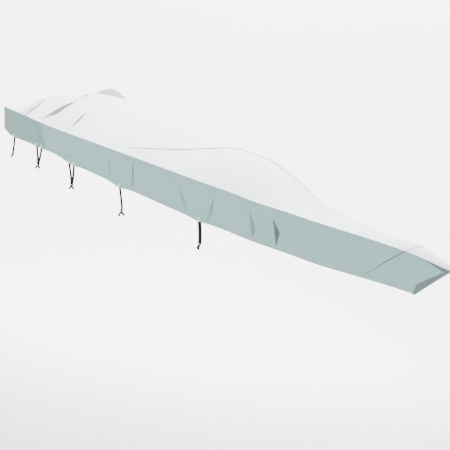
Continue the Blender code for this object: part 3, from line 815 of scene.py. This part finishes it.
def tube_points(route, radius, sides):
    """Rings round a route: each stands across the route, and turns least from the last."""
    route = np.asarray(route, float)
    tangent = np.gradient(route, axis=0)
    tangent /= np.linalg.norm(tangent, axis=1, keepdims=True)
    first = np.cross(tangent[0], ASIDE)
    across = [first / np.linalg.norm(first)]
    for way in tangent[1:]:
        flat = across[-1] - way * (across[-1] @ way)
        across.append(flat / np.linalg.norm(flat))
    across = np.array(across)
    other = np.cross(tangent, across)
    turn = np.linspace(0, 2 * math.pi, sides, endpoint=False)
    radius = np.broadcast_to(radius, len(route))[:, None, None]
    cos, sin = np.cos(turn)[None, :, None], np.sin(turn)[None, :, None]
    return route[:, None] + radius * (across[:, None] * cos + other[:, None] * sin)


def lengths_along(points):
    """The length from a line's first point to each of its points."""
    step = np.linalg.norm(np.diff(points, axis=0), axis=1)
    return np.concatenate([[0.0], np.cumsum(step)])


def tube_arrays(route, radius, sides, closed=False):
    """Points, faces and UVs (metres along and round) of a tube, its ends closed if open."""
    rings = tube_points(route, radius, sides)
    count = len(rings)
    verts = rings.reshape(-1, 3)
    faces = grid_faces(count, sides, closed=True, looped=closed).tolist()
    round_way = np.linspace(0, 2 * math.pi * float(np.max(radius)), sides, endpoint=False)
    uvs = np.stack(np.meshgrid(lengths_along(route), round_way, indexing="ij"), -1)
    if not closed:
        faces.append(list(range(sides)))
        faces.append([(count - 1) * sides + k for k in range(sides)][::-1])
    return verts, faces, uvs.reshape(-1, 2)


def tube(name, route, radius, sides, finish):
    """A tube that rides with the cover."""
    verts, faces, uvs = tube_arrays(route, radius, sides)
    obj = mesh_object(name, verts, faces, finish, uvs)
    ride(obj)
    return obj


def joined(parts):
    """One set of points, faces and UVs from several."""
    verts, faces, uvs, start = [], [], [], 0
    for part_verts, part_faces, part_uvs in parts:
        verts.append(part_verts)
        uvs.append(part_uvs)
        faces += [[index + start for index in face] for face in part_faces]
        start += len(part_verts)
    return np.concatenate(verts), faces, np.concatenate(uvs)


def tidy_normals(obj):
    """Merges doubles and turns every closed shell's faces outward."""
    bm = bmesh.new()
    bm.from_mesh(obj.data)
    bmesh.ops.remove_doubles(bm, verts=bm.verts, dist=1e-6)
    bmesh.ops.recalc_face_normals(bm, faces=bm.faces)
    bm.to_mesh(obj.data)
    bm.free()


def stitches(name, lines):
    """Stitches along lines, each a list of points and outward ways: a thread's spindle, two
    square rings between two points, at every pitch."""
    sizes = bpy.context.scene.cover_sizes
    reach, r = 0.5 * sizes.stitch_length, sizes.thread_radius
    blocks = []
    for points, outward in lines:
        lengths = lengths_along(points)

        def at(places, values, lengths=lengths):
            """A line's values at some lengths along it."""
            return np.stack([np.interp(places, lengths, values[:, k]) for k in range(3)], -1)

        centres = np.arange(0.5 * sizes.stitch_pitch, lengths[-1], sizes.stitch_pitch)
        start = at(np.clip(centres - reach, 0, lengths[-1]), points)
        end = at(np.clip(centres + reach, 0, lengths[-1]), points)
        way = at(centres, outward)
        way /= np.linalg.norm(way, axis=1, keepdims=True)
        run = end - start
        run /= np.maximum(np.linalg.norm(run, axis=1, keepdims=True), 1e-9)
        side = np.cross(run, way)
        spindle = [start - 0.2 * r * way]
        for share in (0.3, 0.7):
            middle = start * (1 - share) + end * share + 0.7 * r * way
            spindle += [middle + r * way, middle + r * side, middle - r * way, middle - r * side]
        spindle.append(end - 0.2 * r * way)
        blocks.append(np.stack(spindle, 1))
    block = np.concatenate(blocks)
    faces = []
    for k in range(4):
        n = (k + 1) % 4
        faces += [(0, 1 + n, 1 + k), (1 + k, 1 + n, 5 + n, 5 + k), (9, 5 + k, 5 + n)]
    starts = np.arange(len(block)) * 10
    every = []
    for face in faces:
        every += (np.array(face)[None, :] + starts[:, None]).tolist()
    obj = mesh_object(name, (block - ORIGIN).reshape(-1, 3), every, "thread")
    tidy_normals(obj)
    return obj


def line_on(surface, a, b, axis, sign):
    """Points of a surface along a run of its two parameters, and its outward ways there,
    which have the given sign along the given axis."""
    points = surface(a, b)[0]
    da = surface(a + 1e-3, b)[0] - surface(a - 1e-3, b)[0]
    db = surface(a, b + 1e-3)[0] - surface(a, b - 1e-3)[0]
    outward = np.cross(da, db)
    outward /= np.maximum(np.linalg.norm(outward, axis=-1, keepdims=True), 1e-12)
    return points, outward * np.sign(outward[:, axis:axis + 1]) * sign


# ---------------------------------------------------------------- ties
def eyelet_centre(station, side):
    """Centre of an eyelet's ring on the outer face, and the way that the face looks."""
    x = station + EYELET_FLAT * np.array((-1.0, 1.0))
    t = 1 - EYELET_UP / skirt_drop(x)
    behind, ahead = plain_side(x, t, side)
    centre = (behind + ahead) / 2
    lower = plain_side(x, t + 0.05, side).mean(axis=0)
    normal = Vector(np.cross(ahead - behind, lower - centre)) * side
    return Vector(centre), normal.normalized()


def knot_top(tie, side):
    """Middle of the knot's upper face."""
    below = tie[BELOW] * (1.0 if side < 0 else PORT_SHORT)
    hem = plain_side(np.array([tie[KNOT]]), np.array([1.0]), side)[0]
    return Vector((tie[KNOT], hem[1] - side * tie[LEAN] * below, hem[2] - below))


def leg_route(tie, index, side):
    """Middle line of one leg: from behind its eyelet, down past the hem, to the knot."""
    centre, normal = eyelet_centre(tie[HEADS][index], side)
    start = centre - normal * (CLOTH + CORD_DIAMETER / 2 + LEG_CLEAR)
    end = knot_top(tie, side)
    if len(tie[HEADS]) == 2:
        end.x += (index - 0.5) * (CORD_DIAMETER + 2 * GAP)
    end.z += GAP
    last = end + Vector((0.0, 0.0, 1.5 * CORD_DIAMETER))
    count = max(5, math.ceil((last - start).length / CORD_STEP) + 1)
    route = []
    for share in np.linspace(0.0, 1.0, count):
        point = start.lerp(last, share)
        point.y -= side * LEG_BOW * math.sin(math.pi * share)
        route.append(point)
    return np.array([tuple(point) for point in route + [end]]) - ORIGIN


def knot_parts(tie, side):
    """A three-lobed knot under the legs (a trefoil: sin t + 2 sin 2t across, cos t - 2 cos 2t
    down, -sin 3t in depth) and its tails, which curve out from it and end cut square."""
    size = KNOT_DOUBLE if len(tie[HEADS]) == 2 else KNOT_SINGLE
    middle = np.array(tuple(knot_top(tie, side))) - ORIGIN
    middle[2] -= size[2] / 2 - KNOT_UP
    t = np.linspace(0, 2 * math.pi, 56, endpoint=False)
    wide, deep = (size[0] / 2 - KNOT_CORD) / 2.75, size[1] / 2 - KNOT_CORD
    tall = (size[2] / 2 + 0.002 - KNOT_CORD) / 2.9
    lobe = np.stack([wide * (np.sin(t) + 2 * np.sin(2 * t)), -deep * np.sin(3 * t),
                     tall * (np.cos(t) - 2 * np.cos(2 * t))], -1)
    parts = [tube_arrays(middle + lobe, KNOT_CORD, 10, closed=True)]
    for forward, down in tie[TAILS]:
        tip = middle + (forward, -side * tie[LEAN] * down, -size[2] / 2 - down)
        mid = middle + (0.35 * forward, side * 0.002, -0.45 * (size[2] / 2 + down))
        route = smooth_path([middle, mid, tip], 12)
        radius = np.full(12, TAIL_ROUND)
        radius[-1] = TAIL_END
        parts.append(tube_arrays(route, radius, 12))
    return joined(parts), middle


class COVER_OT_ties(bpy.types.Operator):
    """Tie legs, knots with their tails, beads, and the cord seen in each eyelet"""
    bl_idname = "boat_cover.ties"
    bl_label = "Ties"

    def execute(self, context):
        sizes = context.scene.cover_sizes
        for side_name, side in SIDES:
            for number, tie in enumerate(TIES, start=1):
                mark = f"{side_name}_{number}"
                (verts, faces, uvs), middle = knot_parts(tie, side)
                knot = mesh_object(f"knot_{mark}", verts, faces, "cord", uvs)
                ride(knot)
                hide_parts(f"tie_knot_{mark}")
                for index in range(len(tie[HEADS])):
                    self.leg(tie, index, side, mark, knot)
                if number > 1:
                    self.bead(sizes, middle, side, mark)
                for letter, station in zip("ab", tie[EYELETS]):
                    self.bight(station, side, f"{mark}{letter}")
        return {"FINISHED"}

    def leg(self, tie, index, side, mark, knot):
        route = leg_route(tie, index, side)
        fine = smooth_path(route, 6 * len(route))
        leg = tube(f"leg_{mark}{'ab'[index]}", fine, CORD_ROUND, 16, "cord")
        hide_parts(f"tie_leg_{mark}{'ab'[index]}")

    def bead(self, sizes, middle, side, mark):
        """A barrel bead in front of the knot: a sphere, its poles pressed in."""
        turn = np.linspace(0, 2 * math.pi, 24, endpoint=False)
        lift = np.linspace(-1, 1, 13) * math.pi / 2
        r = sizes.bead_radius
        round_way, up = np.meshgrid(turn, lift[1:-1])
        x = r * np.cos(round_way) * np.cos(up)
        z = 0.92 * r * np.sin(up)
        y = 0.8 * r * np.sin(round_way) * np.cos(up)
        body = np.stack([x, y, z], -1).reshape(-1, 3)
        verts = np.vstack([body, (0, 0, -0.86 * r), (0, 0, 0.86 * r)])
        faces = grid_faces(11, 24, closed=True).tolist()
        low, high = len(body), len(body) + 1
        faces += fan(low, 0, 24) + [face[::-1] for face in fan(high, 240, 24)]
        centre = middle + (0.0, side * BEAD_OUT, BEAD_UP)
        bead = mesh_object(f"bead_{mark}", verts + centre, faces, "eyelet")
        tidy_normals(bead)
        ride(bead)

    def bight(self, station, side, mark):
        """The cord where it shows in the eyelet: half a ring that comes out and turns down."""
        centre, normal = eyelet_centre(station, side)
        centre = np.array(tuple(centre)) - ORIGIN
        outward = np.array(tuple(normal))
        down = np.array((0.0, 0.0, -1.0))
        down = down - outward * (down @ outward)
        down /= np.linalg.norm(down)
        turn = np.linspace(-0.15, math.pi + 0.15, 16)[:, None]
        bend = np.sin(turn) * outward - np.cos(turn) * down
        route = centre - 0.001 * outward + BIGHT_BEND * bend
        tube(f"bight_{mark}", route, BIGHT_ROUND, 12, "cord")


class COVER_OT_eyelets(bpy.types.Operator):
    """White eyelets at the hem, one for each leg of a tie"""
    bl_idname = "boat_cover.eyelets"
    bl_label = "Eyelets"

    def execute(self, context):
        sizes = context.scene.cover_sizes
        for side_name, side in SIDES:
            for number, tie in enumerate(TIES, start=1):
                for letter, station in zip("ab", tie[EYELETS]):
                    mark = f"{side_name}_{number}{letter}"
                    obj = self.ring(sizes, station, side, mark)
                    ride(obj)
                    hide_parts(f"eyelet_{mark}")
        return {"FINISHED"}

    def ring(self, sizes, station, side, mark):
        """A rolled rim: a closed profile of a flat flange, a round crown and a short throat,
        turned round the eyelet's axis."""
        r, w = sizes.eyelet_radius, sizes.eyelet_wire
        profile = np.array([
            (r + w, 0.0001), (r + 1.02 * w, 0.0009), (r + 0.9 * w, 0.0019), (r + 0.45 * w, 0.0035),
            (r, 0.0042), (r - 0.5 * w, 0.0038), (r - 0.85 * w, 0.0026), (r - w, 0.0010),
            (r - w, -0.0030), (r - 0.82 * w, -0.0030), (r - 0.80 * w, 0.0001),
        ])
        centre, normal = eyelet_centre(station, side)
        turned = normal.to_track_quat("Z", "Y").to_matrix()
        turn = np.linspace(0, 2 * math.pi, 48, endpoint=False)
        round_way, out = np.meshgrid(turn, profile[:, 0])
        lift = np.repeat(profile[:, 1:], 48, axis=1)
        local = np.stack([out * np.cos(round_way), out * np.sin(round_way), lift], -1)
        verts = local.reshape(-1, 3) @ np.array(turned).T + np.array(tuple(centre)) - ORIGIN
        verts = verts + np.array(tuple(normal)) * EYELET_PROUD
        faces = grid_faces(len(profile), 48, closed=True, looped=True)
        obj = mesh_object(f"ring_{mark}", verts, faces, "eyelet")
        tidy_normals(obj)
        return obj


# ---------------------------------------------------------------- cloth
def spread(start, end, step, fine=()):
    """Values a step apart, with finer runs (from, to, step) where there are folds."""
    values = np.linspace(start, end, max(2, int(round((end - start) / step)) + 1))
    for low, high, small in fine:
        values = values[(values < low - 0.5 * small) | (values > high + 0.5 * small)]
        values = np.concatenate([values, np.arange(low, high, small)])
    return np.sort(values)


class COVER_OT_top(bpy.types.Operator):
    """Pale top cloth, from the transom to the bow seam, and the top of the bow cap"""
    bl_idname = "boat_cover.top"
    bl_label = "Top"

    def execute(self, context):
        columns = spread(0.0, BOW_SEAM, 0.028, [(0.0, 1.45, 0.010), (2.15, 3.42, 0.013)])
        rows = np.sin(np.linspace(-1, 1, 131) * 0.95) / math.sin(0.95)

        def main_top(x, v):
            share = x / BOW_SEAM
            stretch = BOW_SEAM + (seam_station(v) - SEAM_GAP - BOW_SEAM) * ramp(share, 0.6, 1.0)
            return top_surface(share * stretch, v)

        top = sheet_from("top_cloth", columns, rows, main_top, "top", (0, 0, 1))
        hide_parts("top_panel")

        def bow(share, v):
            """Past share 1 the cloth turns down and shuts the end of the arch."""
            nose = LENGTH + NOSE_ROUND * (1 - v * v)
            flat = np.minimum(share, 1.0)
            start = seam_station(v) + SEAM_GAP
            x = start + flat * (nose - start)
            points, _ = top_surface(np.minimum(x, LENGTH), v)
            points[..., 0] = x
            down = np.clip((share - 1.0) / 0.1, 0.0, 1.0) * np.ones(x.shape)
            points[..., 2] += down * (points[:1, :, 2] - points[..., 2])
            return points, toned(np.zeros(x.shape))

        columns = np.append(np.linspace(0, 1, 46), (1.02, 1.05, 1.075, 1.1))
        cap = sheet_from("bow_top_cloth", columns, np.linspace(-1, 1, 41), bow, "top", (0, 0, 1))
        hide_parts("bow_top")
        return {"FINISHED"}


def skirt_rows(head, count):
    """Shares of the drop from the head down, closer together at the hem."""
    return np.concatenate([np.linspace(head, 0.86, count), np.linspace(0.875, 1.0, 12)])


class COVER_OT_skirts(bpy.types.Operator):
    """Grey skirts with their hems: both sides, the sides of the bow cap, and the transom"""
    bl_idname = "boat_cover.skirts"
    bl_label = "Skirts"

    def execute(self, context):
        rows = skirt_rows(0.004, 24)
        for name, side in SIDES:
            columns = spread(0.0, BOW_SEAM, 0.0125)

            def long_side(x, t, side=side):
                start = transom_station(t) * (1 - ramp(x, 0.0, 0.5))
                x = x + start - (BOW_SEAM_AFT * t + SEAM_GAP) * ramp(x, 4.5, BOW_SEAM)
                return side_surface(x, t, side)

            skirt = sheet_from(f"skirt_cloth_{name}", columns, rows, long_side, "skirt",
                               (0, side, 0))
            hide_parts(f"skirt_{name}")

            def bow_side(share, t, side=side):
                seam = BOW_SEAM - BOW_SEAM_AFT * t + SEAM_GAP
                return side_surface(seam + share * (stem_station(t) - seam), t, side)

            bow = sheet_from(f"bow_skirt_cloth_{name}", np.linspace(0, 1, 60), rows, bow_side,
                             "skirt", (0, side, 0))
            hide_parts(f"bow_skirt_{name}")
        self.transom()
        return {"FINISHED"}

    def transom(self):
        """The transom's skirt, between the side skirts."""
        skirt = sheet_from("transom_skirt_cloth", np.linspace(-1, 1, 200), skirt_rows(0.012, 20),
                           transom_surface, "skirt", (-1, 0, 0))
        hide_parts("transom_skirt")


class COVER_OT_stem_band(bpy.types.Operator):
    """Darker band folded round the stem, outside the two bow skirts"""
    bl_idname = "boat_cover.stem_band"
    bl_label = "Stem Band"

    def execute(self, context):
        arm = np.linspace(0.0, 1.0, 16)
        columns = np.concatenate([arm - 2.0, np.linspace(-0.9, 0.9, 19), 2.0 - arm[::-1]])
        rows = np.unique(np.concatenate([np.linspace(0, 1, 40), STEM_BAND[:, 0]]))

        def band(a, t):
            stem = stem_station(t)
            edge = np.interp(t, STEM_BAND[:, 0], STEM_BAND[:, 1])
            edge = np.minimum(edge, stem - STEM_BAND_LEAST)
            shoulder = stem + NOSE_SHOULDER
            reach = np.clip(2.0 - np.abs(a), 0.0, 1.0)
            flank, _ = side_surface(edge + reach * (shoulder - edge), t, 1, CLOTH + 2 * GAP)
            turn = np.clip(np.abs(a), 0.0, 1.0) * math.pi / 2
            x = flank[..., 0] + NOSE_ROUND * np.cos(turn)
            y = flank[..., 1] * np.sin(turn) * np.sign(a)
            z = flank[..., 2] - 0.001 * (1 - t)
            return np.stack([x, y, z], -1), toned(LINE_TONE * np.exp(-(reach / 0.06) ** 2))

        obj = sheet_from("stem_band_cloth", columns, rows, band, "band", (1, 0, 0))
        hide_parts("stem_band")
        return {"FINISHED"}


class COVER_OT_hood(bpy.types.Operator):
    """Vent hood on the port side of the ridge: an oval dome with a sewn-down rim"""
    bl_idname = "boat_cover.hood"
    bl_label = "Vent Hood"

    def execute(self, context):
        rings = np.concatenate([np.linspace(0.03, 0.93, 20), np.linspace(0.945, 1.04, 8)])
        turns = np.linspace(0, 2 * math.pi, 97)[:-1]
        ring, turn = np.meshgrid(rings, turns, indexing="ij")
        x = HOOD_CENTRE[0] + HOOD_HALF[0] * ring * np.cos(turn)
        y = HOOD_CENTRE[1] + HOOD_HALF[1] * ring * np.sin(turn)
        base = top_surface(x, y / half_beam(x))[0][..., 2] + CLOTH + GAP
        dome = HOOD_RISE * (1 - np.minimum(ring, 1.0) ** HOOD_POWER)
        gather = HOOD_GATHER * np.sin(9 * turn) * ring ** 3 * (1 - ramp(ring, 0.9, 0.98))
        points = np.stack([x, y, base + dome + gather], -1).reshape(-1, 3)
        peak = np.array((HOOD_CENTRE[0], HOOD_CENTRE[1], base[0].mean() + HOOD_RISE))
        points = np.vstack([points, peak[None, :]])
        faces = grid_faces(len(rings), len(turns), closed=True).tolist()
        faces += fan(len(points) - 1, 0, len(turns))
        tone = LINE_TONE * np.exp(-((ring - 0.955) / 0.012) ** 2)
        # painted shade on the hood's aft side, beside the darker line of its sewn rim
        aft = np.exp(-((turn - HOOD_SHADE_TURN) / 0.32) ** 2 - ((ring - 0.84) / 0.13) ** 2)
        tone = toned(np.append(np.maximum(tone, 0.75 * aft).ravel(), 0.0))
        uvs = (points - points.mean(axis=0))[:, :2]
        obj = mesh_object("vent_hood_cloth", points - ORIGIN, faces, "hood", uvs, tone)
        tidy_normals(obj)
        face_outward(obj, (0, 0, 1))
        thicken(obj, HOOD_CLOTH)
        ride(obj)
        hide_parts("vent_hood")
        return {"FINISHED"}


# ---------------------------------------------------------------- sewing
class COVER_OT_seams(bpy.types.Operator):
    """Welt along the edge, tape over the bow seam, and the rows of stitches"""
    bl_idname = "boat_cover.seams"
    bl_label = "Seams and Stitching"

    def execute(self, context):
        sizes = context.scene.cover_sizes
        self.welts(sizes)
        self.pinch()
        self.seam_tapes()
        self.rows_of_stitches(sizes)
        return {"FINISHED"}

    def welts(self, sizes):
        """A round welt, where the top is sewn to the skirts."""
        for name, side in SIDES:
            x = spread(0.0, LENGTH - 0.004, 0.02)
            line = np.stack([x, side * (half_beam(x) + WELT_OUT), along(x, SHEER) - WELT_DOWN],
                            -1)
            tube(f"welt_{name}", line - ORIGIN, sizes.welt_radius, 10, "band")
        v = np.linspace(-1, 1, 90)
        line = top_surface(np.zeros_like(v), v)[0] + (-WELT_OUT, 0.0, -WELT_DOWN)
        tube("welt_stern", line - ORIGIN, sizes.welt_radius, 10, "band")

    def pinch(self):
        """The top cloth's long fold, pinched up over the hump and tapered to both ends: a tube of
        the dark band cloth, a line of painted shade along the fold.
        """
        line = smooth_path(PINCH, 90)
        points = top_surface(line[:, 0], line[:, 1])[0] + (0.0, 0.0, 0.0008)
        taper = np.sin(math.pi * np.linspace(0.02, 0.98, 90)) ** 0.35
        tube("pinched_fold", points - ORIGIN, PINCH_ROUND * taper, 10, "band")

    def seam_tapes(self):
        """Dark tape over the bow seam: wide at the edge and narrower to the hem and ridge."""
        for name, side in SIDES:
            t = np.linspace(0.006, 0.985, 70)

            def down(a, t, side=side):
                half = TAPE_HALF + TAPE_SWELL * np.exp(-((t - 0.30) / 0.35) ** 2)
                x = BOW_SEAM - BOW_SEAM_AFT * t + a * half
                points, _ = side_surface(x, t, side, TAPE_LIFT)
                return points, toned(np.full(points.shape[:2], LINE_TONE))

            sheet_from(f"seam_tape_{name}", np.linspace(-1, 1, 7), t, down, "band", (0, side, 0))
        v = np.linspace(-0.985, 0.985, 81)

        def over(a, v):
            x = seam_station(v) + a * RIDGE_TAPE_HALF
            points, _ = top_surface(x, v)
            return points + (0.0, 0.0, TAPE_LIFT), toned(np.zeros(points.shape[:2]))

        sheet_from("seam_tape_top", np.linspace(-1, 1, 7), v, over, "hood", (0, 0, 1))

    def rows_of_stitches(self, sizes):
        """Two rows along the hems, and one beside each welt and on each side of a bow seam."""
        lines = []
        for _, side in SIDES:
            def face(x, t, side=side):
                return side_surface(x, t, side)

            for start, end, ups in ((0.04, 5.20, HEM_ROWS), (5.20, 5.66, HEM_ROWS[:1])):
                x = spread(start, end, 0.02)
                for up in ups:
                    share = 1 - (sizes.hem_depth - up) / skirt_drop(x)
                    lines.append(line_on(face, x, share, 1, side))
            x = spread(0.02, 5.93, 0.02)
            lines.append(line_on(face, x, EDGE_ROW / skirt_drop(x), 1, side))
            t = np.linspace(0.03, 0.97, 60)
            for away in SEAM_ROWS:
                lines.append(line_on(face, BOW_SEAM - BOW_SEAM_AFT * t + away, t, 1, side))
        v = np.linspace(-0.975, 0.975, 120)
        for up in HEM_ROWS:
            share = 1 - (sizes.hem_depth - up) / transom_depth(v)[0]
            lines.append(line_on(transom_surface, v, share, 0, -1))
        ride(stitches("stitches_skirts", lines))
        lines = []
        for _, side in SIDES:
            x = spread(0.02, 5.95, 0.02)
            lines.append(line_on(top_surface, x, side * (1 - 0.010 / half_beam(x)), 2, 1))
        v = np.linspace(-0.97, 0.97, 60)
        for away in RIDGE_SEAM_ROWS:
            lines.append(line_on(top_surface, seam_station(v) + away, v, 2, 1))
        v = np.linspace(-0.97, 0.97, 90)
        lines.append(line_on(top_surface, np.full(90, TRANSOM_ROW), v, 2, 1))
        ride(stitches("stitches_top", lines))


# ---------------------------------------------------------------- stage
class COVER_OT_stage(bpy.types.Operator):
    """Camera, soft studio light and a pale floor that curves up all round"""
    bl_idname = "boat_cover.stage"
    bl_label = "Stage"

    def execute(self, context):
        stage = context.scene.cover_stage
        self.camera(context, stage)
        self.lights(context, stage)
        self.floor(context, stage)
        return {"FINISHED"}

    def camera(self, context, stage):
        """The view's axes are the heading and pitch, turned by the roll about the view."""
        ch, sh = math.cos(stage.heading), math.sin(stage.heading)
        cp, sp = math.cos(stage.pitch), math.sin(stage.pitch)
        cr, sr = math.cos(stage.roll), math.sin(stage.roll)
        ahead = Vector((-ch * cp, sh * cp, -sp))
        right, up = Vector((sh, ch, 0.0)), Vector((-ch * sp, sh * sp, cp))
        across = cr * right + sr * up
        upright = cr * up - sr * right
        camera = bpy.data.objects.new("camera", bpy.data.cameras.new("camera"))
        camera.data.lens = stage.lens
        camera.data.sensor_width = 36.0
        camera.data.clip_end = 200.0
        turn = Matrix((across, upright, -ahead)).transposed()
        camera.matrix_world = Matrix.Translation(stage.place) @ turn.to_4x4()
        context.scene.collection.objects.link(camera)
        context.scene.camera = camera

    def lights(self, context, stage):
        """Even light from all round, a large lamp overhead, and a spot for the backdrop."""
        world = bpy.data.worlds.new("studio")
        world.use_nodes = True
        sky = world.node_tree.nodes["Background"]
        sky.inputs["Color"].default_value = (1.0, 1.0, 1.0, 1.0)
        sky.inputs["Strength"].default_value = stage.sky
        context.scene.world = world
        key = bpy.data.lights.new("key", "AREA")
        key.size = 6.5
        backdrop = bpy.data.lights.new("backdrop", "SPOT")
        backdrop.spot_size = math.radians(98)
        backdrop.spot_blend = 0.6
        backdrop.shadow_soft_size = 1.0
        for lamp, power, place, target in (
            (key, stage.key, (-1.0, 0.5, 6.2), (-0.4, 0.0, 0.0)),
            (backdrop, stage.backdrop, (-6.0, 6.0, 14.0), (-16.8, 16.8, -6.0)),
        ):
            lamp.energy = power
            obj = bpy.data.objects.new(lamp.name, lamp)
            obj.location = place
            way = Vector(target) - Vector(place)
            obj.rotation_euler = way.to_track_quat("-Z", "Y").to_euler()
            context.scene.collection.objects.link(obj)

    def floor(self, context, stage):
        """A round floor, flat at first, and then a quarter circle up to a wall."""
        flat = np.linspace(0.5, FLOOR_FLAT, 12)
        bend = np.linspace(0, math.pi / 2, 16)[1:]
        out = np.concatenate([flat, FLOOR_FLAT + FLOOR_BEND * np.sin(bend),
                              [FLOOR_FLAT + FLOOR_BEND]])
        up = np.concatenate([0 * flat, FLOOR_BEND * (1 - np.cos(bend)), [WALL_TOP]])
        turn = np.linspace(0, 2 * math.pi, 96, endpoint=False)
        points = np.stack([out[:, None] * np.cos(turn), out[:, None] * np.sin(turn),
                           np.repeat(up[:, None], 96, axis=1) + stage.floor_height], -1)
        verts = np.vstack([points.reshape(-1, 3), (0, 0, stage.floor_height)])
        faces = grid_faces(len(out), 96, closed=True).tolist()
        faces += fan(len(verts) - 1, 0, 96)
        mesh = bpy.data.meshes.new("floor")
        mesh.from_pydata(verts.tolist(), [], faces)
        mesh.shade_smooth()
        floor = bpy.data.objects.new("floor", mesh)
        context.scene.collection.objects.link(floor)
        face_outward(floor, (0, 0, 1))
        mat, tree, shader = blank("studio_floor")
        tint = context.scene.cover_colours.floor
        feed(tree, shader, {"Base Color": (*tint, 1.0), "Roughness": 0.9})
        mesh.materials.append(mat)


# ---------------------------------------------------------------- panel and running order
class COVER_PT_panel(bpy.types.Panel):
    """Settings and steps of the boat cover"""
    bl_idname = "COVER_PT_panel"
    bl_label = "Boat Cover"
    bl_space_type = "VIEW_3D"
    bl_region_type = "UI"
    bl_category = "Boat Cover"

    def draw(self, context):
        for group in (context.scene.cover_sizes, context.scene.cover_colours,
                      context.scene.cover_stage):
            box = self.layout.box()
            for name in group.__annotations__:
                box.prop(group, name)
        for operator in OPERATORS:
            self.layout.operator(operator.bl_idname)


OPERATORS = (COVER_OT_stage, COVER_OT_ties, COVER_OT_eyelets, COVER_OT_top, COVER_OT_skirts,
             COVER_OT_stem_band, COVER_OT_hood, COVER_OT_seams)
GROUPS = (("cover_sizes", CoverSizes), ("cover_colours", CoverColours),
          ("cover_stage", CoverStage))


def register():
    for name, group in GROUPS:
        bpy.utils.register_class(group)
        setattr(bpy.types.Scene, name, PointerProperty(type=group))
    for cls in (*OPERATORS, COVER_PT_panel):
        bpy.utils.register_class(cls)


def unregister():
    for cls in (COVER_PT_panel, *reversed(OPERATORS)):
        bpy.utils.unregister_class(cls)
    for name, group in reversed(GROUPS):
        delattr(bpy.types.Scene, name)
        bpy.utils.unregister_class(group)


def main():
    register()
    bpy.ops.boat_cover.stage()
    bpy.ops.boat_cover.ties()
    bpy.ops.boat_cover.eyelets()
    bpy.ops.boat_cover.top()
    bpy.ops.boat_cover.skirts()
    bpy.ops.boat_cover.stem_band()
    bpy.ops.boat_cover.hood()
    bpy.ops.boat_cover.seams()


if __name__ == "__main__":
    main()
